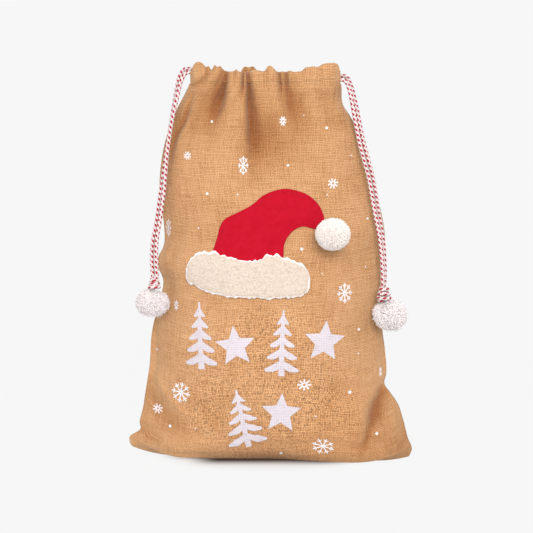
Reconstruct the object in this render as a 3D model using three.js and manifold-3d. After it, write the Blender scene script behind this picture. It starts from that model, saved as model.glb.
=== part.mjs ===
// Drawstring gift sack: two hessian panels sewn at the sides and bottom, a tunnel casing along each
// panel's top, two drawcords with knots and pompoms, and a hat applique. Millimetres, +Z up.
// The origin is on the floor under the middle of the sack, and the front faces -Y.
import * as THREE from 'three';
import { mergeVertices } from 'three/addons/utils/BufferGeometryUtils.js';
import Module from 'manifold-3d';

const wasm = await Module();
wasm.setup();

// ---- Driving dimensions -------------------------------------------------------------------------
const MOUTH_Z = 661; // top of the panels, where the casings begin
const CASING_GAP = 0.5; // between a panel and the casing above it
const CASING_TALL = 41;
const CASING_THICK = 16;
const CASING_WALL = 1.6;
const CASING_LEFT = -139;
const CASING_RIGHT = 123;
const MOUTH_HALF_MID = 31; // a casing's middle line from the mouth's centre line
const MOUTH_HALF_END = 15.5;
const LIP_TILT_DEG = 6; // how far each lip leans in when the cords are drawn
const CLOTH = 2; // wall of a panel, with the loft of the weave
const SEAM_HALF = 2; // half thickness of a seam allowance between the panels
const SEAM_DEEP = 8;
const GAP = 0.3;
const CORD_D = 7;
const POMPOM_R = 31;
const FELT = 3;
const PILE = 8; // brim fleece

// Left and right edges of the standing sack, as [z, x], from the bottom corners to the casings.
const LEFT_EDGE = [
  [36, -247], [64, -228], [105, -220], [166, -214], [227, -208], [314, -197],
  [410, -195], [512, -192], [569, -182], [617, -163], [661, -141],
];
const RIGHT_EDGE = [
  [14, 249], [47, 240], [98, 225], [149, 208], [227, 202], [356, 204],
  [463, 189], [525, 172], [583, 152], [622, 131], [661, 124],
];
// Half depth at the middle of the sack, as [z, y].
const BELLY = [
  [0, 50], [12, 63], [35, 75], [100, 86], [200, 91], [300, 87], [400, 77], [500, 62], [600, 46], [661, 39],
];

// ---- Small helpers ------------------------------------------------------------------------------
const clamp = (t, a, b) => Math.min(Math.max(t, a), b);
const mix = (a, b, t) => a + (b - a) * t;

// Smooth value at t through [t, value] points, by a Catmull-Rom curve kept level at its ends.
function along(points, t) {
  const last = points.length - 1;
  let i = 0;
  while (i < last - 1 && t > points[i + 1][0]) i++;
  const [t0, a] = points[i];
  const [t1, b] = points[i + 1];
  const w = clamp((t - t0) / (t1 - t0), 0, 1);
  const before = points[Math.max(i - 1, 0)];
  const after = points[Math.min(i + 2, last)];
  const m0 = ((b - before[1]) / (t1 - before[0])) * (t1 - t0);
  const m1 = ((after[1] - a) / (after[0] - t0)) * (t1 - t0);
  const w2 = w * w;
  const w3 = w2 * w;
  return (2 * w3 - 3 * w2 + 1) * a + (w3 - 2 * w2 + w) * m0 + (3 * w2 - 2 * w3) * b + (w3 - w2) * m1;
}

const leftEdge = (z) => along(LEFT_EDGE, z);
const rightEdge = (z) => along(RIGHT_EDGE, z);

// Height of the bottom seam at x: flat under the stuffing, lifted at the corner ears.
function bottomEdge(x) {
  const ear = clamp((Math.abs(x) - 150) / 97, 0, 1);
  return (x < 0 ? 36 : 14) * ear * ear * (1.6 - 0.6 * ear);
}

// Share of the belly's depth at x: a lens across the sack, with flat ears outside it.
function fullness(x, z) {
  const inLeft = Math.max(leftEdge(z), -206);
  const inRight = Math.min(rightEdge(z), 206);
  const middle = (inLeft + inRight) / 2;
  const t = clamp(Math.abs(x - middle) / ((inRight - inLeft) / 2), 0, 1);
  return (1 - t ** 2.2) ** 0.75;
}

// Half depth of the outside of the cloth at x, z. Near the floor, rise is the height that the sack's
// middle has where its sides are at z.
function halfDepth(x, z, rise = z) {
  const rim = SEAM_HALF + GAP + CLOTH;
  return rim + (along(BELLY, rise) - rim) * fullness(x, z);
}

// Closed solid from rings of equal length: ring i joins ring i + 1, and the two ends are capped.
function skin(rings) {
  const n = rings[0].length;
  const positions = rings.flat(2);
  const index = [];
  for (let i = 0; i < rings.length - 1; i++) {
    for (let j = 0; j < n; j++) {
      const a = i * n + j;
      const b = i * n + ((j + 1) % n);
      index.push(a, b, b + n, a, b + n, a + n);
    }
  }
  const end = (rings.length - 1) * n;
  for (let j = 1; j < n - 1; j++) {
    index.push(0, j + 1, j);
    index.push(end, end + j, end + j + 1);
  }
  return facingOut(positions, index);
}

// Closed solid between two grids of equal size, a front one and a back one, joined round the rim.
function slab(front, back) {
  const rows = front.length;
  const cols = front[0].length;
  const positions = [...front.flat(2), ...back.flat(2)];
  const index = [];
  const half = rows * cols;
  const at = (r, c) => r * cols + c;
  const quad = (a, b, c, d) => index.push(a, b, c, a, c, d);
  for (let r = 0; r < rows - 1; r++) {
    for (let c = 0; c < cols - 1; c++) {
      const [a, b, d, e] = [at(r, c), at(r, c + 1), at(r + 1, c + 1), at(r + 1, c)];
      quad(a, b, d, e);
      quad(half + a, half + e, half + d, half + b);
    }
  }
  for (let c = 0; c < cols - 1; c++) {
    const top = rows - 1;
    quad(at(0, c + 1), at(0, c), half + at(0, c), half + at(0, c + 1));
    quad(at(top, c), at(top, c + 1), half + at(top, c + 1), half + at(top, c));
  }
  for (let r = 0; r < rows - 1; r++) {
    const right = cols - 1;
    quad(at(r, 0), at(r + 1, 0), half + at(r + 1, 0), half + at(r, 0));
    quad(at(r + 1, right), at(r, right), half + at(r, right), half + at(r + 1, right));
  }
  return facingOut(positions, index);
}

// Geometry whose faces are turned round if they enclose a negative volume.
function facingOut(positions, index) {
  const p = (i) => new THREE.Vector3().fromArray(positions, 3 * i);
  let volume = 0;
  for (let i = 0; i < index.length; i += 3) {
    volume += p(index[i]).dot(p(index[i + 1]).cross(p(index[i + 2])));
  }
  if (volume < 0) index.reverse();
  const geometry = new THREE.BufferGeometry();
  geometry.setAttribute('position', new THREE.Float32BufferAttribute(positions, 3));
  geometry.setIndex(index);
  return geometry;
}

const mirrorY = (grid) => grid.map((row) => row.map(([x, y, z]) => [x, -y, z]));

// A round cord along a smooth curve through points.
function cordTube(points, steps, diameter = CORD_D, sides = 8) {
  const curve = new THREE.CatmullRomCurve3(points.map((p) => new THREE.Vector3(...p)));
  const section = new THREE.Shape();
  for (let k = 0; k < sides; k++) {
    const turn = (2 * Math.PI * k) / sides;
    const [x, y] = [Math.cos(turn), Math.sin(turn)].map((v) => (v * diameter) / 2);
    if (k) section.lineTo(x, y);
    else section.moveTo(x, y);
  }
  section.closePath();
  return new THREE.ExtrudeGeometry(section, { extrudePath: curve, steps, bevelEnabled: false });
}

// manifold-3d solid of a geometry, and the way back.
function toSolid(geometry) {
  const g = geometry.clone();
  g.deleteAttribute('normal');
  g.deleteAttribute('uv');
  const merged = mergeVertices(g, 1e-4);
  return new wasm.Manifold(new wasm.Mesh({
    numProp: 3,
    vertProperties: merged.attributes.position.array,
    triVerts: new Uint32Array(merged.index.array),
  }));
}
function toGeometry(solid) {
  const mesh = solid.getMesh();
  const geometry = new THREE.BufferGeometry();
  geometry.setAttribute('position', new THREE.BufferAttribute(mesh.vertProperties, 3));
  geometry.setIndex(new THREE.BufferAttribute(mesh.triVerts, 1));
  return geometry;
}

const object = new THREE.Group();
const finishes = {
  jute: new THREE.MeshStandardMaterial({ color: 0xd09b69, roughness: 0.95, metalness: 0 }),
  thread: new THREE.MeshStandardMaterial({ color: 0xb98a5a, roughness: 0.8, metalness: 0 }),
  cord: new THREE.MeshStandardMaterial({ color: 0xe9c9c4, roughness: 0.75, metalness: 0 }),
  wool: new THREE.MeshStandardMaterial({ color: 0xf2e8e6, roughness: 1, metalness: 0 }),
  felt: new THREE.MeshStandardMaterial({ color: 0xd5162e, roughness: 0.95, metalness: 0 }),
  sherpa: new THREE.MeshStandardMaterial({ color: 0xf1dfd2, roughness: 1, metalness: 0 }),
};

function add(name, geometry, finish) {
  const mesh = new THREE.Mesh(geometry, finishes[finish].clone());
  mesh.name = name;
  object.add(mesh);
  return mesh;
}

// ---- Panels -------------------------------------------------------------------------------------
// Outside of the front panel as a grid: columns run across the sack, rows run from the bottom seam out
// along the floor, round the heel and up to the casing.
function panelGrid(inset) {
  const ROWS = 24;
  const COLS = 30;
  const FLOOR_ROWS = 3;
  const grid = [];
  for (let r = 0; r <= ROWS; r++) {
    const row = [];
    for (let c = 0; c <= COLS; c++) {
      const u = c / COLS;
      const v = Math.max(0, (r - FLOOR_ROWS) / (ROWS - FLOOR_ROWS));
      const rise = MOUTH_Z * v ** 1.25;
      const low = mix(LEFT_EDGE[0][1], RIGHT_EDGE[0][1], u);
      const z0 = bottomEdge(low);
      const flatness = fullness(low, 0) ** 0.4;
      const z = mix(z0 + (MOUTH_Z - z0) * (r / ROWS) ** 1.25, Math.max(rise, z0), flatness);
      const x = mix(leftEdge(z), rightEdge(z), u);
      const floorShare = Math.min(1, r / FLOOR_ROWS);
      const y = mix(SEAM_HALF + GAP, halfDepth(x, z, rise), floorShare);
      row.push([x, -y, z]);
    }
    grid.push(row);
  }
  return inset ? insetGrid(grid, inset) : grid;
}

// The same grid moved inwards by the wall, kept off the sack's middle plane and off the floor.
function insetGrid(grid, wall) {
  const at = (r, c) => new THREE.Vector3(...grid[r][c]);
  return grid.map((row, r) => row.map((p, c) => {
    const acrossFrom = at(r, Math.max(c - 1, 0));
    const across = at(r, Math.min(c + 1, row.length - 1)).sub(acrossFrom);
    const up = at(Math.min(r + 1, grid.length - 1), c).sub(at(Math.max(r - 1, 0), c));
    const inwards = up.cross(across).normalize();
    const edge = r === 0 || r === grid.length - 1;
    const side = c === 0 || c === row.length - 1;
    const x = p[0] + (side ? 0 : inwards.x * wall);
    const y = Math.min(p[1] + (edge && r === 0 ? 0 : inwards.y * wall), -(SEAM_HALF + GAP));
    const z = edge && r > 0 ? p[2] : p[2] + (r === 0 ? wall : inwards.z * wall);
    return [x, y, z];
  }));
}

const panelOut = panelGrid(0);
const panelIn = panelGrid(CLOTH);
add('front_panel', slab(panelOut, panelIn), 'jute');
add('back_panel', slab(mirrorY(panelOut), mirrorY(panelIn)), 'jute');

// ---- Seams: allowances held between the panels' edges -------------------------------------------
const SLIT_Z = 650; // the side seams stop here, and the cords' slits begin

function sideSeam(edge, inwards) {
  const STEPS = 18;
  const bottom = edge(0) === leftEdge(0) ? LEFT_EDGE[0][0] : RIGHT_EDGE[0][0];
  const rings = [];
  for (let i = 0; i <= STEPS; i++) {
    const z = mix(bottom + SEAM_DEEP + GAP + 1, SLIT_Z, i / STEPS);
    const [a, b] = [edge(z), edge(z) + inwards * SEAM_DEEP];
    rings.push([[a, -SEAM_HALF, z], [b, -SEAM_HALF, z], [b, SEAM_HALF, z], [a, SEAM_HALF, z]]);
  }
  return skin(rings);
}

function bottomSeam() {
  const STEPS = 30;
  const rings = [];
  for (let i = 0; i <= STEPS; i++) {
    const x = mix(LEFT_EDGE[0][1], RIGHT_EDGE[0][1], i / STEPS);
    const [low, high] = [bottomEdge(x), bottomEdge(x) + SEAM_DEEP];
    rings.push([[x, -SEAM_HALF, low], [x, SEAM_HALF, low], [x, SEAM_HALF, high], [x, -SEAM_HALF, high]]);
  }
  return skin(rings);
}

function bartack(edge, inwards) {
  const bar = new THREE.BoxGeometry(SEAM_DEEP, 2 * SEAM_HALF, 5);
  const z = SLIT_Z + GAP + 2.5;
  bar.translate(edge(z + 2.5) + (inwards * SEAM_DEEP) / 2, 0, z);
  return bar;
}

add('left_side_seam', sideSeam(leftEdge, 1), 'jute');
add('right_side_seam', sideSeam(rightEdge, -1), 'jute');
add('bottom_seam', bottomSeam(), 'jute');
add('left_bartack', bartack(leftEdge, 1), 'thread');
add('right_bartack', bartack(rightEdge, -1), 'thread');

// ---- Casings: a tunnel along each lip of the mouth ----------------------------------------------
// Distance of a casing's middle line from the mouth's centre line at x.
function lipLine(x) {
  const t = (2 * (x - CASING_LEFT)) / (CASING_RIGHT - CASING_LEFT) - 1;
  return mix(MOUTH_HALF_END, MOUTH_HALF_MID, Math.sqrt(1 - clamp(Math.abs(t), 0, 1) ** 2.4));
}

// A casing's foot rises towards its ends, so that the lip can lean in about its middle's foot.
function casingFoot(x) {
  const lean = Math.tan((LIP_TILT_DEG * Math.PI) / 180);
  return MOUTH_Z + CASING_GAP + (MOUTH_HALF_MID - lipLine(x) + CASING_THICK / 2) * lean;
}

function casingRing(x, inset) {
  const foot = casingFoot(x) + inset;
  const top = MOUTH_Z + CASING_TALL - inset;
  const round = 5 - inset;
  const half = CASING_THICK / 2 - inset;
  const y = lipLine(x);
  const ring = [];
  for (const [cy, cz, turn] of [
    [half - round, foot + round, -1], [half - round, top - round, 0],
    [round - half, top - round, 1], [round - half, foot + round, 2],
  ]) {
    for (let k = 0; k <= 2; k++) {
      const angle = ((turn + k / 2) * Math.PI) / 2;
      ring.push([x, -(y + cy + round * Math.cos(angle)), cz + round * Math.sin(angle)]);
    }
  }
  return ring;
}

function casing() {
  const STEPS = 20;
  const outer = [];
  const inner = [];
  for (let i = 0; i <= STEPS; i++) {
    const x = mix(CASING_LEFT, CASING_RIGHT, i / STEPS);
    outer.push(casingRing(x, 0));
    inner.push(casingRing(mix(CASING_LEFT - 1, CASING_RIGHT + 1, i / STEPS), CASING_WALL));
  }
  let solid = toSolid(skin(outer)).subtract(toSolid(skin(inner)));
  // The cord's far bend passes from one tunnel to the other through a window near each end.
  for (const x of [CASING_LEFT + 17, CASING_RIGHT - 17]) {
    const window = new THREE.BoxGeometry(44, 28, 28);
    window.translate(x, -7, MOUTH_Z + 22);
    solid = solid.subtract(toSolid(window));
  }
  return toGeometry(solid);
}

function turnedRound(geometry) {
  const g = geometry.clone();
  g.applyMatrix4(new THREE.Matrix4().makeScale(1, -1, 1));
  const index = Array.from(g.index.array);
  g.setIndex(index.reverse());
  return g;
}

// One line of stitching along a lip, just above its foot, on the outside.
function casingStitching() {
  const STEPS = 24;
  const THREAD = 0.9;
  const rings = [];
  for (let i = 0; i <= STEPS; i++) {
    const x = mix(CASING_LEFT + 6, CASING_RIGHT - 6, i / STEPS);
    const y = -(lipLine(x) + CASING_THICK / 2 + GAP);
    const z = casingFoot(x) + 7;
    rings.push([[x, y, z], [x, y - THREAD, z], [x, y - THREAD, z + 1.4], [x, y, z + 1.4]]);
  }
  return skin(rings);
}

const casingShape = casing();
const stitchShape = casingStitching();
add('front_casing', casingShape, 'jute');
add('back_casing', turnedRound(casingShape), 'jute');
add('front_casing_stitching', stitchShape, 'thread');
add('back_casing_stitching', turnedRound(stitchShape), 'thread');

// ---- Drawcords ----------------------------------------------------------------------------------
// Each cord goes all round the mouth through both tunnels, and both its ends leave at its own side.
// toSide is -1 for the cord that leaves at the left and 1 for the one that leaves at the right.
function cordRun(toSide, frontZ, backZ) {
  const [near, far] = toSide < 0 ? [CASING_LEFT, CASING_RIGHT - 6] : [CASING_RIGHT, CASING_LEFT + 6];
  const MID_STEPS = 8;
  const line = [];
  for (let i = 0; i <= MID_STEPS; i++) {
    const x = mix(near - toSide * 3, far + toSide * 16, i / MID_STEPS);
    line.push([x, lipLine(x)]);
  }
  const middleZ = (frontZ + backZ) / 2;
  const bend = [
    [far + toSide * 5, -11.5, mix(frontZ, middleZ, 0.4)], [far, 0, middleZ],
    [far + toSide * 5, 11.5, mix(backZ, middleZ, 0.4)],
  ];
  const front = line.map(([x, y]) => [x, -y, frontZ]);
  const back = line.map(([x, y]) => [x, y, backZ]).reverse();
  return cordTube([...front, ...bend, ...back], 44);
}

add('left_cord_run', cordRun(-1, 686, 693), 'cord');
add('right_cord_run', cordRun(1, 673, 681), 'cord');

// Routes of the four free ends, from the casings' ends to their knots.
const ROUTES = {
  left_cord_front_strand: [
    [-141, -16, 686], [-149, -17, 683], [-156, -19, 671], [-161, -21, 653], [-166, -23, 632],
    [-172, -26, 605], [-177, -30, 575], [-181, -34, 545], [-185, -37, 510], [-189, -38, 478],
    [-193, -39, 448], [-198, -41, 418], [-202, -43, 394], [-203, -46, 370], [-202, -50, 346],
    [-201, -54, 325],
  ],
  left_cord_back_strand: [
    [-141, 16, 693], [-152, 12, 692], [-160, 3, 681], [-164.5, -5, 661], [-168.5, -11, 637],
    [-173, -15, 608], [-178, -19, 578], [-183, -23, 546], [-189, -26, 512], [-195, -28, 478],
    [-200, -31, 446], [-205, -34, 414], [-209.5, -37, 388], [-211, -41, 364], [-210, -45, 342],
    [-208, -48, 325],
  ],
  right_cord_front_strand: [
    [125, -16, 673], [133, -17, 670], [139, -19, 659], [143.5, -21, 640], [147.5, -24, 617],
    [152, -28, 592], [157.5, -33, 563], [163.5, -38, 532], [170, -41, 500], [176, -43, 468],
    [181, -45, 436], [185.5, -46, 405], [190, -47, 376], [194, -47, 348], [196.5, -47, 326],
    [198, -47, 312],
  ],
  right_cord_back_strand: [
    [125, 16, 681], [136, 12, 679], [143.5, 3, 666], [149, -6, 646], [154, -13, 622],
    [159, -19, 595], [165, -25, 565], [171.5, -30, 534], [178, -33, 502], [184, -36, 469],
    [189.5, -38, 437], [194, -40, 405], [198, -42, 376], [202, -44, 348], [204.5, -45, 326],
    [205, -46, 312],
  ],
};
for (const [name, route] of Object.entries(ROUTES)) {
  add(name, cordTube(route, 26), 'cord');
}

// ---- Knots, pompoms and their ties --------------------------------------------------------------
function knot(width, tall) {
  const shape = new THREE.SphereGeometry(1, 12, 8);
  shape.scale(width / 2, width / 2.3, tall / 2);
  return shape;
}

// A ball of yarn with a pinched hollow at its top, where the tie sits.
function pompom(radius, halfTall) {
  const STEPS = 12;
  const profile = [new THREE.Vector2(0, -halfTall)];
  for (let i = 1; i < STEPS; i++) {
    const angle = mix(-Math.PI / 2, Math.PI / 2, i / STEPS);
    profile.push(new THREE.Vector2(radius * Math.cos(angle), halfTall * Math.sin(angle)));
  }
  profile.push(new THREE.Vector2(0, halfTall - 12));
  const ball = new THREE.LatheGeometry(profile, 16);
  ball.rotateX(Math.PI / 2);
  return ball;
}

function tie() {
  const ring = new THREE.TorusGeometry(3.4, 1.2, 6, 12);
  return ring;
}

const ENDS = {
  left: { knot: [-204.5, -51, 316], wide: 18, tall: 14.5, ball: [-210, -55, 283], r: 31, half: 26 },
  right: { knot: [202, -47, 301], wide: 23, tall: 20, ball: [211, -50, 261], r: 31, half: 30 },
};
for (const [side, end] of Object.entries(ENDS)) {
  add(side + '_knot', knot(end.wide, end.tall), 'cord').position.set(...end.knot);
  add(side + '_pompom', pompom(end.r, end.half), 'wool').position.set(...end.ball);
  const top = end.ball[2] + end.half - 4.1;
  add(side + '_pompom_tie', tie(), 'thread').position.set(end.ball[0], end.ball[1], top);
}

// ---- Hat applique -------------------------------------------------------------------------------
// Outlines as [x, z] on the front. Each pair of lines runs the same way, and the piece fills between.
const CROWN_OUTER = [
  [-101, 366], [-92, 394], [-86, 416], [-76, 430], [-54, 441], [-30, 454], [-9, 471],
  [18, 481], [41, 481], [68, 472], [88, 454], [98, 433],
];
const CROWN_INNER = [
  [24, 356], [25, 370], [26, 384], [31, 396], [38, 405], [45, 411], [53, 415],
  [62, 416], [71, 414], [80, 412], [89, 416], [96, 427],
];
const BRIM_TOP = [
  [-148, 331], [-139, 352], [-113, 370], [-89, 370], [-66, 366], [-38, 356], [-16, 356], [2, 363],
  [25, 360], [48, 352], [66, 339], [72, 321],
];
const BRIM_LOW = [
  [-148, 318], [-139, 308], [-122, 302], [-100, 296], [-80, 291], [-56, 289], [-32, 288], [-9, 288],
  [15, 288], [39, 289], [60, 293], [71, 305],
];

// The point at share t along a smooth line through [x, z] points.
function onLine(points, t) {
  const spots = points.map((p, i) => [i / (points.length - 1), p]);
  const x = along(spots.map(([s, p]) => [s, p[0]]), t);
  const z = along(spots.map(([s, p]) => [s, p[1]]), t);
  return [x, z];
}

// A layer laid on the front between two lines, from lift to lift + thick off the cloth.
function patch(lineA, lineB, along_, across, lift, thick) {
  const front = [];
  const back = [];
  for (let i = 0; i <= along_; i++) {
    const [ax, az] = onLine(lineA, i / along_);
    const [bx, bz] = onLine(lineB, i / along_);
    const row = [];
    for (let j = 0; j <= across; j++) {
      row.push([mix(ax, bx, j / across), mix(az, bz, j / across)]);
    }
    front.push(row.map(([x, z]) => [x, -(halfDepth(x, z) + lift + thick), z]));
    back.push(row.map(([x, z]) => [x, -(halfDepth(x, z) + lift), z]));
  }
  return slab(front, back);
}

const OFF_CLOTH = 1.2; // clears the facets of the panel
const OVER_FELT = OFF_CLOTH + FELT + 1;
add('hat_crown', patch(CROWN_OUTER, CROWN_INNER, 22, 8, OFF_CLOTH, FELT), 'felt');
add('hat_brim', patch(BRIM_TOP, BRIM_LOW, 22, 6, OVER_FELT, PILE), 'sherpa');

// A line of thread laid on the front through [x, z] points.
function threadLine(points, lift, steps) {
  const THREAD = 0.8;
  const WIDE = 1.4;
  const rings = [];
  for (let i = 0; i <= steps; i++) {
    const t = i / steps;
    const [x, z] = onLine(points, t);
    const [x0, z0] = onLine(points, Math.max(t - 0.01, 0));
    const [x1, z1] = onLine(points, Math.min(t + 0.01, 1));
    const long = Math.hypot(x1 - x0, z1 - z0);
    const [nx, nz] = [(-(z1 - z0) / long) * (WIDE / 2), ((x1 - x0) / long) * (WIDE / 2)];
    const ring = [[1, 0], [1, THREAD], [-1, THREAD], [-1, 0]].map(([s, out]) => {
      const [px, pz] = [x + s * nx, z + s * nz];
      return [px, -(halfDepth(px, pz) + lift + out), pz];
    });
    rings.push(ring);
  }
  return skin(rings);
}

const CROWN_THREAD = [
  [-88, 389], [-80, 413], [-70, 424], [-50, 436], [-26, 449], [-5, 465], [20, 475], [41, 475],
  [65, 466], [82, 450], [90, 434],
];
const BRIM_THREAD = [
  [-141, 331], [-136, 318], [-122, 309], [-80, 297], [-32, 294], [15, 294], [55, 299], [66, 310],
  [67, 324],
];
const THREAD_LIFT = OFF_CLOTH + FELT + 0.8;
add('hat_crown_stitching', threadLine(CROWN_THREAD, THREAD_LIFT, 36), 'thread');
add('hat_brim_stitching', threadLine(BRIM_THREAD, OFF_CLOTH, 36), 'thread');

// The hat's pompom stands on a short thread through the cloth.
const HAT_BALL = [112, 402];
const SHANK = 4;
const ballBack = -(halfDepth(...HAT_BALL) + SHANK + 2 * GAP);
const hatBall = pompom(POMPOM_R, POMPOM_R - 2);
add('hat_pompom', hatBall, 'wool').position.set(HAT_BALL[0], ballBack - POMPOM_R - 1.5, HAT_BALL[1]);
const shank = new THREE.CylinderGeometry(1.6, 1.6, SHANK, 10);
shank.translate(HAT_BALL[0], -(halfDepth(...HAT_BALL) + GAP + 0.6 + SHANK / 2), HAT_BALL[1]);
add('hat_pompom_thread', shank, 'thread');

export default object;
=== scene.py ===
"""A drawstring gift sack of hessian, filled and standing, with braided drawcords, knots, yarn pompoms
and a sewn-on felt hat with a fleece brim. Metres, +Z up, the front faces -Y."""
import math

import bpy
import numpy as np
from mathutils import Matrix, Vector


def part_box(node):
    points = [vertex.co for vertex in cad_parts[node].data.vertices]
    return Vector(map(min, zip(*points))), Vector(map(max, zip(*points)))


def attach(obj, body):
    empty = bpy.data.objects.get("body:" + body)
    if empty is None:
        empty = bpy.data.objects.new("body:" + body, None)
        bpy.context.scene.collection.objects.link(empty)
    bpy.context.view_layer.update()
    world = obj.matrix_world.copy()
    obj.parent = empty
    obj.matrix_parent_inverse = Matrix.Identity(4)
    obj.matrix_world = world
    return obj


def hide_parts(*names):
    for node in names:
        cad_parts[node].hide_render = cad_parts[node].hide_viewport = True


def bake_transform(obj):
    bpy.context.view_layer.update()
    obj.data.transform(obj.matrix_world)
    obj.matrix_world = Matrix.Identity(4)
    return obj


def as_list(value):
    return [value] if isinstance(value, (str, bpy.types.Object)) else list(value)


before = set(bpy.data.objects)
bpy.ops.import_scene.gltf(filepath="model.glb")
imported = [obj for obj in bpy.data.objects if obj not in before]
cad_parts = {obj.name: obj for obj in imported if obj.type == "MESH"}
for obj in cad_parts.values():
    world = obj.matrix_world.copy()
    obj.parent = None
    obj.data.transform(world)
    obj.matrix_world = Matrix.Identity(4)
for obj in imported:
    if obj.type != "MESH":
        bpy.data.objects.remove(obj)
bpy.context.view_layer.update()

MM = 0.001
PI = math.pi
TAU = 2 * math.pi

# ---- Driving sizes, in metres ------------------------------------------------------------------
MOUTH_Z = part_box("front_panel")[1][2]
LIP_TOP_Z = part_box("front_casing")[1][2]
LIP_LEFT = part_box("front_casing")[0][0]
LIP_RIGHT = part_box("front_casing")[1][0]
LIP_HALF_MID = 0.031
LIP_HALF_END = 0.0155
SLIT_Z = 0.650
CLOTH = 0.0011
CORD_D = 0.007
FELT = 0.003
THREAD_PITCH = 0.0030

# Left and right edges of the standing sack, as (z, x), and the half depth at its middle, as (z, y).
LEFT_EDGE = [
    (0.012, -0.2465), (0.018, -0.2525), (0.026, -0.2545), (0.0335, -0.2520), (0.0375, -0.2450),
    (0.0405, -0.2395), (0.060, -0.2360), (0.084, -0.2300), (0.110, -0.2262), (0.159, -0.2188),
    (0.222, -0.2135), (0.270, -0.2020), (0.313, -0.1925), (0.349, -0.2035), (0.378, -0.1910),
    (0.415, -0.1905), (0.464, -0.1975), (0.514, -0.1960), (0.571, -0.1850), (0.619, -0.1667),
    (0.661, -0.1435),
]
RIGHT_EDGE = [
    (0.004, 0.2475), (0.014, 0.2530), (0.038, 0.2460), (0.068, 0.2390), (0.0950, 0.2300),
    (0.114, 0.2165), (0.126, 0.2080), (0.143, 0.2115), (0.184, 0.2097), (0.222, 0.2046),
    (0.300, 0.2060), (0.356, 0.2077), (0.3975, 0.2070), (0.464, 0.1935), (0.5266, 0.1750),
    (0.585, 0.1558), (0.612, 0.1410), (0.624, 0.1325), (0.661, 0.1265),
]
TURN = [
    (-0.255, -0.024), (-0.235, -0.026), (-0.200, -0.031), (-0.165, -0.034), (-0.140, -0.024),
    (-0.100, -0.010), (-0.060, 0.0), (0.030, 0.0), (0.070, -0.018), (0.115, -0.042), (0.166, -0.070),
    (0.210, -0.076), (0.240, -0.066), (0.256, -0.056),
]
BELLY = [
    (0.0, 0.066), (0.012, 0.077), (0.035, 0.085), (0.100, 0.090), (0.200, 0.092), (0.300, 0.087),
    (0.400, 0.077), (0.500, 0.062), (0.600, 0.046), (0.661, 0.039),
]
STUFFED_HALF = 0.206


# ---- Small numeric helpers ----------------------------------------------------------------------
def smooth(t):
    """0 to 1 with level ends: t squared times (3 - 2t), with t held between 0 and 1."""
    t = np.clip(t, 0.0, 1.0)
    return t * t * (3 - 2 * t)


def mix(a, b, t):
    """a at t = 0, b at t = 1."""
    return a + (b - a) * t


def along(points, t):
    """Smooth value at t through (t, value) points: cubic Hermite pieces whose slopes are those of the
    chords between the neighbours."""
    p = np.asarray(points, float)
    key, val = p[:, 0], p[:, 1]
    t = np.clip(np.asarray(t, float), key[0], key[-1])
    i = np.clip(np.searchsorted(key, t, side="right") - 1, 0, len(key) - 2)
    slope = np.gradient(val, key)
    step = key[i + 1] - key[i]
    w = (t - key[i]) / step
    w2, w3 = w * w, w * w * w
    return (
        (2 * w3 - 3 * w2 + 1) * val[i]
        + (w3 - 2 * w2 + w) * slope[i] * step
        + (3 * w2 - 2 * w3) * val[i + 1]
        + (w3 - w2) * slope[i + 1] * step
    )


def lattice_noise(x, y, seed, repeat=64):
    """Value noise from -1 to 1: random numbers on a square lattice of unit cells, joined smoothly."""
    table = np.random.default_rng(seed).uniform(-1, 1, (repeat, repeat))
    xi, yi = np.floor(x).astype(int), np.floor(y).astype(int)
    fx, fy = smooth(x - xi), smooth(y - yi)
    at = lambda i, j: table[i % repeat, j % repeat]
    low = mix(at(xi, yi), at(xi + 1, yi), fx)
    high = mix(at(xi, yi + 1), at(xi + 1, yi + 1), fx)
    return mix(low, high, fy)


def unit(v):
    """Vectors scaled to length 1."""
    return v / np.maximum(np.linalg.norm(v, axis=-1, keepdims=True), 1e-12)


def arc_lengths(points):
    """Distance along a line of points from its first point to each."""
    steps = np.linalg.norm(np.diff(points, axis=0), axis=1)
    return np.concatenate([[0.0], np.cumsum(steps)])


def smooth_route(points, spacing):
    """Catmull-Rom line through points, resampled at an even spacing."""
    p = np.asarray(points, float)
    key = arc_lengths(p)
    fine = np.linspace(0, key[-1], len(p) * 24)
    line = np.stack([along(list(zip(key, p[:, k])), fine) for k in range(3)], axis=1)
    true = arc_lengths(line)
    even = np.linspace(0, true[-1], max(int(round(true[-1] / spacing)), 2) + 1)
    return np.stack([np.interp(even, true, line[:, k]) for k in range(3)], axis=1)


def carried_frame(line, first=(0.0, 1.0, 0.0)):
    """Two unit vectors square to the line at each point, turned as little as possible from point to
    point, starting from the one nearest to first."""
    way = unit(np.gradient(line, axis=0))
    side = np.zeros_like(way)
    last = np.asarray(first, float)
    for i, t in enumerate(way):
        last = unit(last - np.dot(last, t) * t)
        side[i] = last
    return side, np.cross(way, side)


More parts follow.
